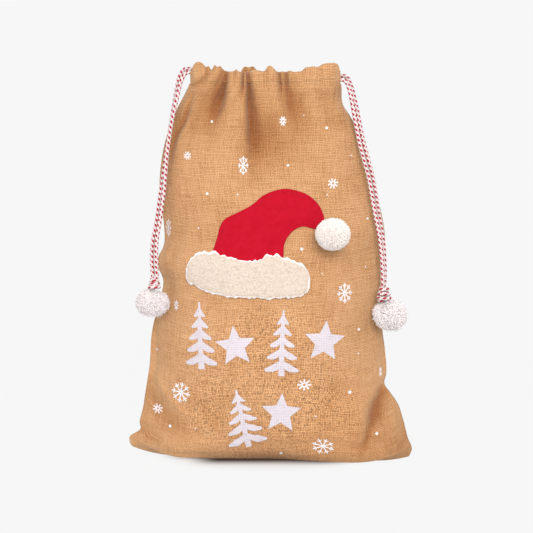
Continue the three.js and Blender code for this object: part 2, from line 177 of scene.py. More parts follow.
# ---- Meshes -------------------------------------------------------------------------------------
def new_piece(name, verts, faces, uvs=None, soft=True):
    """Object from vertex and face arrays (faces may be several arrays), with one uv per face corner."""
    mesh = bpy.data.meshes.new(name)
    faces = [f for f in (faces if isinstance(faces, list) else [faces]) if len(f)]
    sizes = np.concatenate([np.full(len(f), f.shape[1]) for f in faces])
    corners = np.concatenate([f.ravel() for f in faces])
    mesh.vertices.add(len(verts))
    mesh.vertices.foreach_set("co", np.asarray(verts, np.float32).ravel())
    mesh.loops.add(len(corners))
    mesh.loops.foreach_set("vertex_index", corners.astype(np.int32))
    mesh.polygons.add(len(sizes))
    mesh.polygons.foreach_set("loop_start", (np.cumsum(sizes) - sizes).astype(np.int32))
    mesh.polygons.foreach_set("loop_total", sizes.astype(np.int32))
    mesh.polygons.foreach_set("use_smooth", np.full(len(sizes), soft))
    if uvs is not None:
        layer = mesh.uv_layers.new(name="cloth")
        flat = np.concatenate([u.reshape(-1, 2) for u in (uvs if isinstance(uvs, list) else [uvs])])
        layer.data.foreach_set("uv", flat.astype(np.float32).ravel())
    mesh.update(calc_edges=True)
    mesh.validate()
    piece = bpy.data.objects.new(name, mesh)
    bpy.context.scene.collection.objects.link(piece)
    return piece


def grid_faces(rows, cols, closed=False, start=0):
    """Quads of a grid of rows by cols vertices, wound so that rows cross columns gives the outside.
    closed joins the last column to the first."""
    span = cols if closed else cols - 1
    r, c = np.meshgrid(np.arange(rows - 1), np.arange(span), indexing="ij")
    nxt = (c + 1) % cols
    quad = np.stack([r * cols + c, r * cols + nxt, (r + 1) * cols + nxt, (r + 1) * cols + c], axis=-1)
    return quad.reshape(-1, 4) + start


def grid_uvs(uv):
    """Corner uvs of a grid's quads, from uvs at rows by columns; a closed grid has one column more."""
    low, right = uv[:-1, :-1], uv[:-1, 1:]
    high, left = uv[1:, 1:], uv[1:, :-1]
    return np.stack([low, right, high, left], axis=2).reshape(-1, 4, 2)


def merge_parts(parts):
    """Vertices, faces and uvs of several grids or solids as one. Each part is (verts, [faces], [uvs])."""
    verts, faces, uvs, count = [], [], [], 0
    for v, f, u in parts:
        verts.append(v)
        faces += [k + count for k in f]
        uvs += list(u)
        count += len(v)
    order = sorted(range(len(faces)), key=lambda k: faces[k].shape[1])
    return np.concatenate(verts), [faces[k] for k in order], [uvs[k] for k in order]


def tube_part(line, radius, sides, first=(0, 1, 0), relief=None, cap=True):
    """Tube round a line: at each point a ring of radius(s, angle). uv is (turn share, metres along)."""
    side, up = carried_frame(line, first)
    length = arc_lengths(line)
    angle = np.arange(sides) * TAU / sides
    r = np.broadcast_to(np.asarray(radius, float).reshape(-1, 1), (len(line), sides)).copy()
    if relief is not None:
        r = r + relief(length[:, None], angle[None, :])
    ring = np.cos(angle)[None, :, None] * side[:, None] + np.sin(angle)[None, :, None] * up[:, None]
    verts = (line[:, None] + ring * r[..., None]).reshape(-1, 3)
    faces = [grid_faces(len(line), sides, closed=True)]
    share = np.arange(sides + 1) / sides
    uv = np.stack(np.broadcast_arrays(share[None, :], length[:, None]), axis=-1)
    uvs = [grid_uvs(uv)]
    if cap:
        ends = np.array([line[0], line[-1]])
        verts = np.concatenate([verts, ends])
        a, b = len(verts) - 2, len(verts) - 1
        c = np.arange(sides)
        n = (c + 1) % sides
        base = (len(line) - 1) * sides
        faces.append(np.stack([np.full(sides, a), n, c], 1))
        faces.append(np.stack([np.full(sides, b), base + c, base + n], 1))
        uvs += [np.zeros((sides, 3, 2)), np.full((sides, 3, 2), length[-1])]
    return verts, faces, uvs


def blob_part(centre, axes, size, rings=6, sides=8):
    """Closed ellipsoid with its three half sizes along the three axes, from pole to pole."""
    lat = np.linspace(-PI / 2, PI / 2, rings + 1)[1:-1]
    lon = np.arange(sides) * TAU / sides
    ball = np.stack([
        np.cos(lat)[:, None] * np.cos(lon), np.cos(lat)[:, None] * np.sin(lon),
        np.broadcast_to(np.sin(lat)[:, None], (rings - 1, sides)),
    ], axis=-1).reshape(-1, 3)
    ball = np.concatenate([ball, [[0, 0, -1], [0, 0, 1]]])
    verts = np.asarray(centre) + (ball * np.asarray(size)) @ np.asarray(axes, float)
    south, north = len(ball) - 2, len(ball) - 1
    c = np.arange(sides)
    n = (c + 1) % sides
    top = (rings - 2) * sides
    faces = [
        grid_faces(rings - 1, sides, closed=True), np.stack([np.full(sides, south), n, c], 1),
        np.stack([np.full(sides, north), top + c, top + n], 1),
    ]
    return verts, faces, [np.zeros((len(f), f.shape[1], 2)) for f in faces]


def piece_of(name, parts, soft=True):
    """One object from several parts."""
    verts, faces, uvs = merge_parts(parts)
    return new_piece(name, verts, faces, uvs, soft)


def mark_painted_shade(piece, values):
    """Stores painted shade at each vertex, from 0 to 1, for the cloth's material: deepest in the folds."""
    layer = piece.data.attributes.new("hollow", "FLOAT", "POINT")
    layer.data.foreach_set("value", np.clip(values, 0, 1).astype(np.float32).ravel())


def thicken(piece, thick, offset=-1.0):
    """Gives a sheet its thickness, inwards from its faces when offset is -1."""
    solid = piece.modifiers.new("thickness", "SOLIDIFY")
    solid.thickness = thick
    solid.offset = offset
    solid.use_even_offset = False
    return piece


# ---- Materials ----------------------------------------------------------------------------------
class Wire:
    """A socket that takes part in Python expressions: each operator adds a Math node."""

    def __init__(self, finish, socket):
        self.finish = finish
        self.socket = socket

    def _math(self, operation, *values, clamp=False):
        settings = {"operation": operation, "use_clamp": clamp}
        return self.finish.node("ShaderNodeMath", settings, dict(enumerate(values)))

    def __add__(self, other):
        return self._math("ADD", self, other)

    def __radd__(self, other):
        return self._math("ADD", other, self)

    def __sub__(self, other):
        return self._math("SUBTRACT", self, other)

    def __rsub__(self, other):
        return self._math("SUBTRACT", other, self)

    def __mul__(self, other):
        return self._math("MULTIPLY", self, other)

    def __rmul__(self, other):
        return self._math("MULTIPLY", other, self)

    def __truediv__(self, other):
        return self._math("DIVIDE", self, other)

    def __pow__(self, other):
        return self._math("POWER", self, other)

    def sine(self):
        return self._math("SINE", self)

    def size(self):
        return self._math("ABSOLUTE", self)

    def part(self):
        return self._math("FRACT", self)

    def least(self, other):
        return self._math("MINIMUM", self, other)

    def most(self, other):
        return self._math("MAXIMUM", self, other)

    def step(self, low, high):
        """0 below low, 1 above high, smooth between."""
        return self.finish.node(
            "ShaderNodeMapRange", {"interpolation_type": "SMOOTHSTEP"},
            {"Value": self, "From Min": low, "From Max": high},
        )


class Finish:
    """A node material built round one Principled BSDF."""

    def __init__(self, name, **constants):
        self.material = bpy.data.materials.new(name)
        self.material.use_nodes = True
        self.tree = self.material.node_tree
        self.shader = self.tree.nodes["Principled BSDF"]
        for socket, value in constants.items():
            self.set(socket.replace("_", " "), value)

    def node(self, kind, settings=None, inputs=None, out=0):
        """Adds a node: settings first (stops fills a ramp), then sockets by name or number."""
        made = self.tree.nodes.new(kind)
        for key, value in (settings or {}).items():
            if key == "stops":
                ramp = made.color_ramp
                while len(ramp.elements) < len(value):
                    ramp.elements.new(0.5)
                for element, (at, colour) in zip(ramp.elements, value):
                    element.position = at
                    element.color = (*colour, 1.0)
            else:
                setattr(made, key, value)
        for key, value in (inputs or {}).items():
            self._feed(made.inputs[key], value)
        return Wire(self, made.outputs[out])

    def _feed(self, socket, value):
        if isinstance(value, Wire):
            self.tree.links.new(value.socket, socket)
        elif isinstance(value, (tuple, list)) and socket.type == "RGBA":
            socket.default_value = (*value, 1.0)[:4]
        else:
            socket.default_value = value

    def set(self, name, value):
        self._feed(self.shader.inputs[name], value)
        return self

    def place(self, kind="Object", scale=(1, 1, 1), turn=(0, 0, 0)):
        """Coordinates of a kind, scaled and turned by a Mapping node."""
        coords = self.node("ShaderNodeTexCoord", out=kind)
        return self.node("ShaderNodeMapping", inputs={"Vector": coords, "Scale": scale, "Rotation": turn})

    def parts(self, vector):
        """The three numbers of a vector."""
        node = self.node("ShaderNodeSeparateXYZ", inputs={"Vector": vector})
        return [Wire(self, s) for s in node.socket.node.outputs]

    def noise(self, vector, scale, detail=2.0, rough=0.5):
        return self.node("ShaderNodeTexNoise", inputs={
            "Vector": vector, "Scale": scale, "Detail": detail, "Roughness": rough,
        })

    def ramp(self, value, *stops):
        return self.node("ShaderNodeValToRGB", {"stops": stops}, {"Fac": value})

    def blend(self, share, a, b, mode="MIX"):
        """Colour a at share 0, b at share 1, or b laid on a by another mode."""
        node = self.node("ShaderNodeMix", {"data_type": "RGBA", "blend_type": mode})
        mixer = node.socket.node
        for socket, value in zip([mixer.inputs[0], mixer.inputs[6], mixer.inputs[7]], [share, a, b]):
            self._feed(socket, value)
        return Wire(self, mixer.outputs[2])

    def join(self, x, y, z=0.0):
        return self.node("ShaderNodeCombineXYZ", inputs={"X": x, "Y": y, "Z": z})

    def bump(self, height, distance, strength=1.0, under=None):
        inputs = {"Height": height, "Distance": distance, "Strength": strength}
        if under is not None:
            inputs["Normal"] = under
        return self.node("ShaderNodeBump", inputs=inputs)


def weave(finish, pitch=THREAD_PITCH, wobble=0.35):
    """Plain weave on the uv map, in metres. Warp and weft threads are humps across their own way, and
    the sign of the product of the two sines says which one lies on top in each cell. Returns the
    height, the gaps between the threads, the share of warp on top, and the two thread counts."""
    x, y, _ = finish.parts(finish.node("ShaderNodeTexCoord", out="UV"))
    place = finish.join(x, y)
    drift_x = (finish.noise(place, 55.0, 2.0) - 0.5) * (wobble * 4)
    drift_y = (finish.noise(finish.join(y, x, 3.0), 55.0, 2.0) - 0.5) * (wobble * 4)
    across = x / pitch + drift_x
    up = y / pitch + drift_y
    warp = (across * PI).sine()
    weft = (up * PI).sine()
    over = (warp * weft).step(-0.15, 0.15)
    warp_hump, weft_hump = warp.size() ** 0.6, weft.size() ** 0.6
    on_top = warp_hump * (0.55 + 0.45 * weft_hump)
    below = weft_hump * (0.55 + 0.45 * warp_hump)
    height = over * on_top + (1 - over) * below
    gap = (1 - warp.size().step(0.05, 0.6)) * (1 - weft.size().step(0.05, 0.6))
    return height, gap, over, across, up, place


def jute_finish(name, dark, mid, light):
    """Coarse jute: golden-brown threads that differ from one to the next, dark gaps and hairy bumps."""
    f = Finish(name, Roughness=0.92, Specular_IOR_Level=0.15, Sheen_Weight=0.25, Sheen_Roughness=0.5)
    f.set("Sheen Tint", (1.0, 0.85, 0.65))
    height, gap, over, across, up, place = weave(f)
    x, y, _ = f.parts(place)
    warp_tone = f.noise(f.join(across * 0.95, up * 0.07), 1.0, 2.0, 0.6)
    weft_tone = f.noise(f.join(across * 0.07, up * 0.95, 7.0), 1.0, 2.0, 0.6)
    tone = over * warp_tone + (1 - over) * weft_tone
    patches = f.noise(place, 9.0, 3.0, 0.55)
    share = tone * 0.7 + patches * 0.3
    colour = f.ramp(share, (0.3, dark), (0.46, mid), (0.66, light))
    broad = f.noise(place, 6.5, 2.0, 0.5).step(0.34, 0.62)
    side, level = (x + 0.01) / 0.19, (y - 0.20) / 0.16
    strained = (1 - (side * side + level * level).step(0.3, 1.2)) * (0.35 + 0.65 * broad)
    depth = 0.36 + strained * 0.30
    pore = f.noise(f.join(across * 0.9, up * 0.45, 3.0), 1.0, 1.0, 0.5).step(0.52, 0.68)
    rung = f.noise(f.join(across * 0.40, up * 0.9, 9.0), 1.0, 1.0, 0.5).step(0.54, 0.70)
    thin = pore.most(rung) * (0.10 + strained * 0.42)
    lift = 1.02 + strained * 0.28
    shade = (1 - gap * (0.80 + strained * 0.20)) * (1 - depth + depth * height) * (1 - thin) * lift
    # Painted shade: a vertex attribute darkens and warms the colour in the folds, where shade falls.
    hollow = f.node("ShaderNodeAttribute", {"attribute_name": "hollow"}, out="Fac")
    deep = (1 - hollow * 0.60) * shade
    warm = f.join((1 - hollow * 0.43) * shade, deep, deep * (1 - hollow * 0.27))
    colour = f.blend(1.0, colour, warm, "MULTIPLY")
    f.set("Base Color", colour)
    hair = f.noise(place, 1400.0, 3.0, 0.7)
    slub = tone * 0.6 + height + hair * 0.25
    f.set("Normal", f.bump(slub, 0.0009, 0.75))
    return f.material


def ink_finish(name, colour):
    """Pale ink pressed on jute: it covers the tops of the threads, misses the gaps and breaks up in
    dry patches."""
    f = Finish(name, Roughness=0.85, Specular_IOR_Level=0.2)
    height, gap, over, across, up, place = weave(f)
    dry = f.noise(place, 75.0, 3.0, 0.65)
    streak = f.noise(f.join(across * 0.12, up * 0.5), 1.0, 2.0, 0.6)
    tint = f.ramp(dry * 0.6 + height * 0.4, (0.25, tuple(c * 0.82 for c in colour)), (0.6, colour))
    f.set("Base Color", tint)
    cover = height * 0.5 + dry * 0.55 + streak * 0.35
    f.set("Alpha", (cover - gap * 0.30).step(0.36, 0.52))
    f.set("Normal", f.bump(height, 0.0008, 0.6))
    return f.material


def felt_finish(name, dark, mid, light):
    """Pressed felt: mottled colour and a fine tangle of fibres."""
    f = Finish(name, Roughness=0.95, Specular_IOR_Level=0.1, Sheen_Weight=0.35, Sheen_Roughness=0.4)
    f.set("Sheen Tint", tuple(min(1.0, c * 1.3 + 0.1) for c in light))
    place = f.place()
    mottle = f.noise(place, 90.0, 4.0, 0.65)
    fibre = f.noise(f.place(scale=(1, 1, 0.35), turn=(0, 0.7, 0)), 1500.0, 3.0, 0.7)
    share = mottle * 0.6 + fibre * 0.4
    f.set("Base Color", f.ramp(share, (0.35, dark), (0.5, mid), (0.66, light)))
    f.set("Normal", f.bump(fibre * 0.7 + mottle, 0.0006, 0.6))
    return f.material


def fleece_finish(name, deep, mid, light):
    """Looped fleece: small curls, a little darker between them, and a paler cut edge. The uv map's
    first number is the distance from the rim in metres."""
    f = Finish(name, Roughness=1.0, Specular_IOR_Level=0.1, Sheen_Weight=0.4, Sheen_Roughness=0.6)
    place = f.place()
    curl = f.node("ShaderNodeTexVoronoi", {"feature": "SMOOTH_F1"}, {
        "Vector": place, "Scale": 300.0, "Smoothness": 0.5})
    wisps = f.noise(place, 520.0, 4.0, 0.7)
    share = 1 - curl * 0.7 + (wisps - 0.5) * 0.5
    body = f.ramp(share, (0.3, deep), (0.6, mid), (0.9, light))
    rim, _, _ = f.parts(f.node("ShaderNodeTexCoord", out="UV"))
    rim = rim + (wisps - 0.5) * 0.002
    f.set("Base Color", f.blend(rim.step(0.0022, 0.0042), (0.70, 0.66, 0.66), body))
    f.set("Normal", f.bump(share, 0.0009, 0.4))
    return f.material


def yarn_finish(name, root, mid, tip, glow):
    """Cut yarn: the fibres' tint drifts over the ball, and a faint painted glow brightens it, standing
    for light passing through the fibres."""
    f = Finish(name, Roughness=0.9, Specular_IOR_Level=0.15, Sheen_Weight=0.3, Sheen_Roughness=0.5,
               Emission_Strength=glow)
    f.set("Emission Color", tip)
    place = f.place()
    tone = f.noise(place, 260.0, 3.0, 0.6)
    f.set("Base Color", f.ramp(tone, (0.3, root), (0.5, mid), (0.65, tip)))
    f.set("Normal", f.bump(f.noise(place, 2200.0, 2.0), 0.0004, 0.4))
    return f.material


FLECK_PITCH = 0.0094
COLUMNS = 4
TWIST = 0.9


def cord_finish(name):
    """Round braid in four columns of slanting yarn tops. Every second top of a column is red, and the
    red ones of neighbouring columns are staggered. The uv map holds the share of a turn and the metres
    along."""
    f = Finish(name, Roughness=0.75, Specular_IOR_Level=0.25, Sheen_Weight=0.2)
    turn, length, _ = f.parts(f.node("ShaderNodeTexCoord", out="UV"))
    column = (turn + length * TWIST) * COLUMNS
    across = column.part() - 0.5
    stagger = column._math("FLOOR", column) * 0.5
    up = (length / FLECK_PITCH + stagger).part() - 0.5
    lean = across + up * 0.55
    spot = (lean * lean) / 0.135 + (up * up) / 0.115
    red = 1 - spot.step(0.80, 1.10)
    top_up = (length * 2 / FLECK_PITCH + stagger * 2).part() - 0.5
    top_lean = across + top_up * 0.3
    dome = 1 - ((top_lean * top_lean) * 3.4 + (top_up * top_up) * 3.0)
    dome = dome.most(0.0)
    fibre = f.noise(f.join(turn * 40 + up * 9, length * 260), 1.0, 2.0)
    pale = f.ramp(dome * 0.75 + fibre * 0.25, (0.1, (0.40, 0.34, 0.33)), (0.5, (0.62, 0.57, 0.57)))
    f.set("Base Color", f.blend(red, pale, (0.30, 0.006, 0.016)))
    f.set("Normal", f.bump(dome + fibre * 0.2, 0.0007, 0.8))
    return f.material


def thread_finish(name, colour):
    """Twisted sewing thread: slanting plies in bump."""
    f = Finish(name, Roughness=0.7, Specular_IOR_Level=0.3)
    place = f.place()
    tone = f.noise(place, 900.0, 2.0)
    f.set("Base Color", f.ramp(tone, (0.3, tuple(c * 0.65 for c in colour)), (0.7, colour)))
    f.set("Normal", f.bump(f.noise(place, 2500.0, 1.0), 0.0002, 0.5))
    return f.material


JUTE = jute_finish("jute", (0.300, 0.126, 0.045), (0.485, 0.249, 0.112), (0.600, 0.345, 0.178))
# Painted shade: the same jute, darker, for the seam allowances inside the sack.
JUTE_SHADED_INSIDE = jute_finish("jute_painted_shade_inside", (0.16, 0.07, 0.026), (0.24, 0.12, 0.055), (0.30, 0.165, 0.08))
INK = ink_finish("white_ink", (0.53, 0.48, 0.52))
INK_THICK = ink_finish("thick_white_ink", (0.66, 0.61, 0.62))
FELT_RED = felt_finish("red_felt", (0.325, 0.002, 0.011), (0.350, 0.003, 0.014), (0.375, 0.005, 0.018))
FLEECE = fleece_finish("cream_fleece", (0.40, 0.315, 0.25), (0.475, 0.39, 0.325), (0.53, 0.455, 0.40))
# The last number of each is a painted glow that brightens the pompom's fibres.
YARN = yarn_finish("pompom_yarn", (0.62, 0.55, 0.55), (0.73, 0.67, 0.67), (0.82, 0.77, 0.77), 0.13)
YARN_WHITE = yarn_finish(
    "hat_pompom_yarn", (0.72, 0.65, 0.61), (0.78, 0.72, 0.68), (0.83, 0.77, 0.745), 0.075)
BRAID = cord_finish("flecked_braid")
THREAD = thread_finish("jute_thread", (0.38, 0.22, 0.11))
THREAD_RED = thread_finish("red_thread", (0.32, 0.006, 0.016))
THREAD_WHITE = thread_finish("white_thread", (0.55, 0.49, 0.45))


def dress(piece, material, body=None):
    """Gives a piece its material and the body that it moves with, if only one."""
    piece.data.materials.append(material)
    if body:
        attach(piece, body)
    return piece


# ---- Camera, light and floor --------------------------------------------------------------------
def camera():
    """Long lens in front of the sack, a little above its middle, looking slightly down."""
    data = bpy.data.cameras.new("camera")
    data.lens = 85.0
    data.sensor_width = 36.0
    data.clip_end = 30.0
    made = bpy.data.objects.new("camera", data)
    bpy.context.scene.collection.objects.link(made)
    lift = math.radians(6.0)
    away = 2.243
    target = np.array([-0.006, -0.03, 0.342])
    made.location = target + np.array([0.0, -math.cos(lift), math.sin(lift)]) * away
    made.rotation_euler = (PI / 2 - lift, 0.0, 0.0)
    bpy.context.scene.camera = made


def area_light(name, place, target, size, power, colour=(1, 1, 1)):
    """A square softbox aimed at a point."""
    data = bpy.data.lights.new(name, "AREA")
    data.size = size
    data.energy = power
    data.color = colour
    made = bpy.data.objects.new(name, data)
    made.location = place
    way = Vector(target) - Vector(place)
    made.rotation_euler = way.to_track_quat("-Z", "Y").to_euler()
    bpy.context.scene.collection.objects.link(made)


def studio():
    """Pale even world, a big key in front and a little to the right, a weak fill from the left, and a
    floor that glows as a lit white sweep does, with a painted contact shadow where the sack rests on it."""
    world = bpy.data.worlds.new("studio")
    bpy.context.scene.world = world
    world.use_nodes = True
    back = world.node_tree.nodes["Background"]
    back.inputs["Color"].default_value = (1.0, 1.0, 1.0, 1.0)
    back.inputs["Strength"].default_value = 0.93
    area_light("key", (0.38, -2.95, 1.50), (0.0, 0.0, 0.35), 1.4, 100.0, (1.0, 0.985, 0.965))
    area_light("fill", (-2.4, -2.2, 1.3), (0.0, 0.0, 0.3), 1.8, 18.0)
    bpy.ops.mesh.primitive_plane_add(size=80.0, location=(0, 0, -0.0005))
    floor = bpy.context.object
    floor.name = "floor"
    f = Finish("white_sweep", Roughness=1.0, Specular_IOR_Level=0.0, Emission_Strength=1.0)
    x, y, _ = f.parts(f.place())
    across, ahead = (x + 0.012) / 0.175, (y + 0.035) / 0.105
    under = 1 - (across * across + ahead * ahead).step(0.35, 1.3)
    far = (x * x + y * y).step(0.3, 6.0)
    dull = (1 - far) * 0.02 + under * 0.42
    glow = 0.93 - dull * 1.42
    # Painted contact shadow round the sack's foot: it darkens the floor's colour and glow alike, tinted
    # warm.
    reach = 1 - (x + 0.004).size().step(0.085, 0.150)
    shadow_fade = y.size().step(0.064, 0.128)
    dark = reach * (1 - shadow_fade) * (1 - shadow_fade)
    painted_shadow_tints = [1 - dark * amount for amount in (0.90, 0.945, 0.955)]
    f.set("Base Color", f.join(*(tint * dull for tint in painted_shadow_tints)))
    f.set("Emission Color", f.join(*(tint * glow for tint in painted_shadow_tints)))
    floor.data.materials.append(f.material)
    scene = bpy.context.scene
    scene.view_settings.view_transform = "Standard"
    scene.view_settings.look = "None"


camera()
studio()

# ---- Drawcords ----------------------------------------------------------------------------------
# Routes of the four free ends, in millimetres, from the casings' ends to their knots.
ROUTES = {
    "left_cord_front_strand": [
        (-141, -16, 686), (-149, -17, 683), (-156, -19, 671), (-161, -21, 653), (-166, -23, 632),
        (-172, -26, 605), (-177, -30, 575), (-181, -34, 545), (-184, -37, 510), (-187, -38, 478),
        (-190.75, -39, 448), (-195.5, -41, 418), (-199.75, -43, 394), (-201, -46, 370),
        (-200.267, -50, 346), (-199.5, -54, 325),
        (-200.5, -53, 314),
    ],
    "left_cord_back_strand": [
        (-141, 16, 693), (-152, 12, 692), (-160, 3, 681), (-164.5, -5, 661), (-168.5, -11, 637),
        (-173, -15, 608), (-178, -19, 578), (-183, -23, 546), (-188.057, -26, 512), (-193, -28, 478),
        (-197.733, -31, 446), (-202.542, -34, 414), (-207.312, -37, 388), (-209.067, -41, 364),
        (-208.311, -45, 342), (-206.5, -48, 325),
        (-205, -49.5, 314),
    ],
    "right_cord_front_strand": [
        (125, -16, 673), (133, -17, 670), (139, -19, 659), (143.5, -21, 640), (147.5, -24, 617),
        (152, -28, 592), (157.5, -33, 563), (165.5, -38, 532), (174, -41, 500), (180, -43, 468),
        (185.5, -45, 436), (192, -46, 405), (196, -47, 376), (198.5, -47, 348), (199.5, -47, 326),
        (199.5, -47, 312),
        (200.5, -47.5, 302),
    ],
    "right_cord_back_strand": [
        (125, 16, 681), (136, 12, 679), (143.5, 3, 666), (149, -6, 646), (154, -13, 622),
        (159, -19, 595), (165, -25, 565), (173, -30, 534), (181.5, -33, 502), (187.5, -36, 469),
        (192.5, -38, 437), (198.5, -39, 405), (202, -39.5, 376), (203.5, -40, 348),
        (203.8, -40.5, 326), (203.2, -41, 312), (202, -43, 303),
    ],
}


def braid_relief(length, angle):
    """Low domes where the braid's yarns come to the top, in four staggered columns."""
    column = (angle / TAU + length * TWIST) * COLUMNS
    across = column % 1 - 0.5
    up = (length * 2 / FLECK_PITCH + np.floor(column)) % 1 - 0.5
    return 0.0003 * (1 - 3 * across ** 2 - 3 * up ** 2) - 0.0001


def strand(name):
    """A free drawcord end: a braided tube from inside the casing's end down to the knot."""
    side = name.split("_")[0]
    line = smooth_route(np.array(ROUTES[name]) * MM, 0.0012)
    piece = piece_of(name + "_braid", [tube_part(line, CORD_D / 2, 20, relief=braid_relief)])
    dress(piece, BRAID)
    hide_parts(name)
    side + "_cord"
    side + "_tail"
    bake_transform(piece)
    return piece, line


def lip_line(x):
    """Distance of a casing's middle line from the mouth's centre line: a flattened oval."""
    t = 2 * (np.asarray(x, float) - LIP_LEFT) / (LIP_RIGHT - LIP_LEFT) - 1
    return mix(LIP_HALF_END, LIP_HALF_MID, np.sqrt(1 - np.clip(np.abs(t), 0, 1) ** 2.4))


def tunnel_line(to_side, front_z, back_z, low_z):
    """The run of a drawcord round the mouth: in at the near end, along the front tunnel, round the far
    end and back; between the ends it sags to low_z."""
    near, far = (LIP_LEFT, LIP_RIGHT - 0.006) if to_side < 0 else (LIP_RIGHT, LIP_LEFT + 0.006)
    x = np.linspace(near - to_side * 0.0005, far + to_side * 0.016, 11)
    y = lip_line(x)
    sag = smooth(np.abs(x - near) / 0.045)
    end_z = mix(low_z, (front_z + back_z) / 2, 0.6)
    turn_x = far + to_side * 0.005
    bend = [(turn_x, -0.0115, end_z), (far, 0.0, end_z), (turn_x, 0.0115, end_z)]
    front = list(zip(x, -y, mix(front_z, low_z, sag)))
    back = list(zip(x, y, mix(back_z, low_z, sag)))[::-1]
    return smooth_route(front + bend + back, 0.003)


def knot(side, centre, size):
    """The pair's knot: the cord wrapped three times round the strands, each turn under the last and a
    little wider, with its two ends tucked inside."""
    t = np.linspace(-0.25, 3.25, 190)
    down = smooth(np.clip(t / 3, 0, 1)) * 0.35 + np.clip(t / 3, 0, 1) * 0.65
    tuck = smooth(np.minimum(t + 0.25, 3.25 - t) / 0.3)
    wide = (0.50 + 0.44 * down) * (0.25 + 0.75 * tuck)
    turn = t * TAU + (0.6 if side == "left" else 2.4)
    reach = np.array(size) - 0.0036
    line = np.stack([
        np.cos(turn) * wide * reach[0], np.sin(turn) * wide * reach[1],
        (1 - 2 * down) * reach[2] + np.cos(turn) * 0.0012,
    ], axis=1) + np.array(centre)
    part = tube_part(line, 0.0036, 16, first=(0, 0, 1), relief=braid_relief)
    piece = piece_of(side + "_tied_knot", [part])
    dress(piece, BRAID, side + "_tail")
    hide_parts(side + "_knot")
    return piece


def ball_lumps(way, seed):
    """Slow swelling over a ball, about -1 to 1: the sum of five waves in random directions."""
    rng = np.random.default_rng(seed)
    total = np.zeros(way.shape[:-1])
    for _ in range(5):
        axis = unit(rng.normal(0, 1, 3)) * rng.uniform(2.5, 8.0)
        total += np.sin(way @ axis + rng.uniform(0, TAU)) * 0.45
    return total


def cleft_depth(way, cleft):
    """A dimple 0.22 deep round the direction cleft, that has gone 50 degrees away from it."""
    if cleft is None:
        return np.zeros(way.shape[:-1])
    return 0.22 * smooth((way @ unit(np.array(cleft)) - 0.64) / 0.36)


def pompom(name, centre, half, material, seed, fibres, fuzz, lumpy, body, node, cleft=None):
    """Ball of cut yarn: a lumpy core inside thousands of thin tapering tufts that leave it at random
    small leans. half gives the half sizes along X, Y and Z; tuft length varies a little. The ball is
    drawn in where the cord enters it, along cleft."""
    rng = np.random.default_rng(seed)
    half = np.array(half)
    n_lat, n_lon = 40, 56
    lat = np.linspace(-PI / 2, PI / 2, n_lat + 2)[1:-1]
    lon = np.arange(n_lon) * TAU / n_lon
    ball = np.stack([
        np.cos(lat)[:, None] * np.cos(lon), np.cos(lat)[:, None] * np.sin(lon),
        np.broadcast_to(np.sin(lat)[:, None], (n_lat, n_lon)),
    ], axis=-1)
    lump = lumpy * ball_lumps(ball, seed) - cleft_depth(ball, cleft)
    core = centre + ball * half * (0.82 + lump)[..., None]
    poles = centre + np.array([[0, 0, -1], [0, 0, 1]]) * half * 0.84
    verts = np.concatenate([core.reshape(-1, 3), poles])
    c = np.arange(n_lon)
    n = (c + 1) % n_lon
    top = (n_lat - 1) * n_lon
    south, north = len(verts) - 2, len(verts) - 1
    core_faces = [
        grid_faces(n_lat, n_lon, closed=True), np.stack([np.full(n_lon, south), n, c], 1),
        np.stack([np.full(n_lon, north), top + c, top + n], 1),
    ]
    z = rng.uniform(-1, 1, fibres)
    turn = rng.uniform(0, TAU, fibres)
    ring = np.sqrt(1 - z * z)
    out = np.stack([ring * np.cos(turn), ring * np.sin(turn), z], axis=1)
    lean = unit(out + rng.normal(0, fuzz, (fibres, 3)))
    reach = rng.uniform(1.0 - 0.35 * fuzz, 1.0, fibres) + fuzz * 0.34 * rng.random(fibres) ** 6
    swell = 1 + lumpy * ball_lumps(out, seed) - cleft_depth(out, cleft)
    root = out * 0.74
    tip = unit(out * 0.6 + lean * 0.4) * (reach * swell)[:, None]
    bend = (root + tip) / 2 + rng.normal(0, fuzz * 0.12, (fibres, 3))
    across = unit(np.cross(out, rng.normal(0, 1, (fibres, 3))))
    other = np.cross(out, across)
    rings = []
    for point, wide in ((root, 0.024), (bend, 0.027), (tip, 0.008)):
        for k in range(3):
            a = k * TAU / 3
            rings.append(point + (across * math.cos(a) + other * math.sin(a)) * wide)
    tuft = np.stack(rings, axis=1) * half + centre
    base = len(verts) + np.arange(fibres)[:, None, None] * 9
    r, k = np.meshgrid(np.arange(2), np.arange(3), indexing="ij")
    nk = (k + 1) % 3
    quad = np.stack([r * 3 + k, r * 3 + nk, (r + 1) * 3 + nk, (r + 1) * 3 + k], -1).reshape(-1, 4)
    ends = np.array([[2, 1, 0], [6, 7, 8]])
    faces = core_faces + [(base + quad).reshape(-1, 4), (base + ends).reshape(-1, 3)]
    verts = np.concatenate([verts, tuft.reshape(-1, 3)])
    faces = sorted(faces, key=lambda f: f.shape[1])
    piece = new_piece(name, verts, faces)
    dress(piece, material, body)
    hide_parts(node)
    return piece


def thread_rings(name, centre, radius, turns, gauge, material, body, node):
    """Thread wound a few turns round the pompom's waist of yarn: a close helix with its ends tucked."""
    t = np.linspace(0, TAU * turns, 20 * turns + 1)
    rise = (t / TAU - turns / 2) * gauge * 1.7
    line = np.stack([radius * np.cos(t), radius * np.sin(t), rise], axis=1) + np.array(centre)
    piece = piece_of(name, [tube_part(line, gauge, 6, first=(0, 0, 1))])
    dress(piece, material, body)
    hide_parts(node)
    return piece


def middle(node):
    """The middle of a CAD node's box."""
    low, high = (np.array(corner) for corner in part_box(node))
    return (low + high) / 2


def half_size(node):
    """Half the size of a CAD node's box."""
    low, high = (np.array(corner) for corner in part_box(node))
    return (high - low) / 2


CLEFTS = {"left": (0.25, 0.0, 1.0), "right": (-0.40, -0.25, 1.0)}


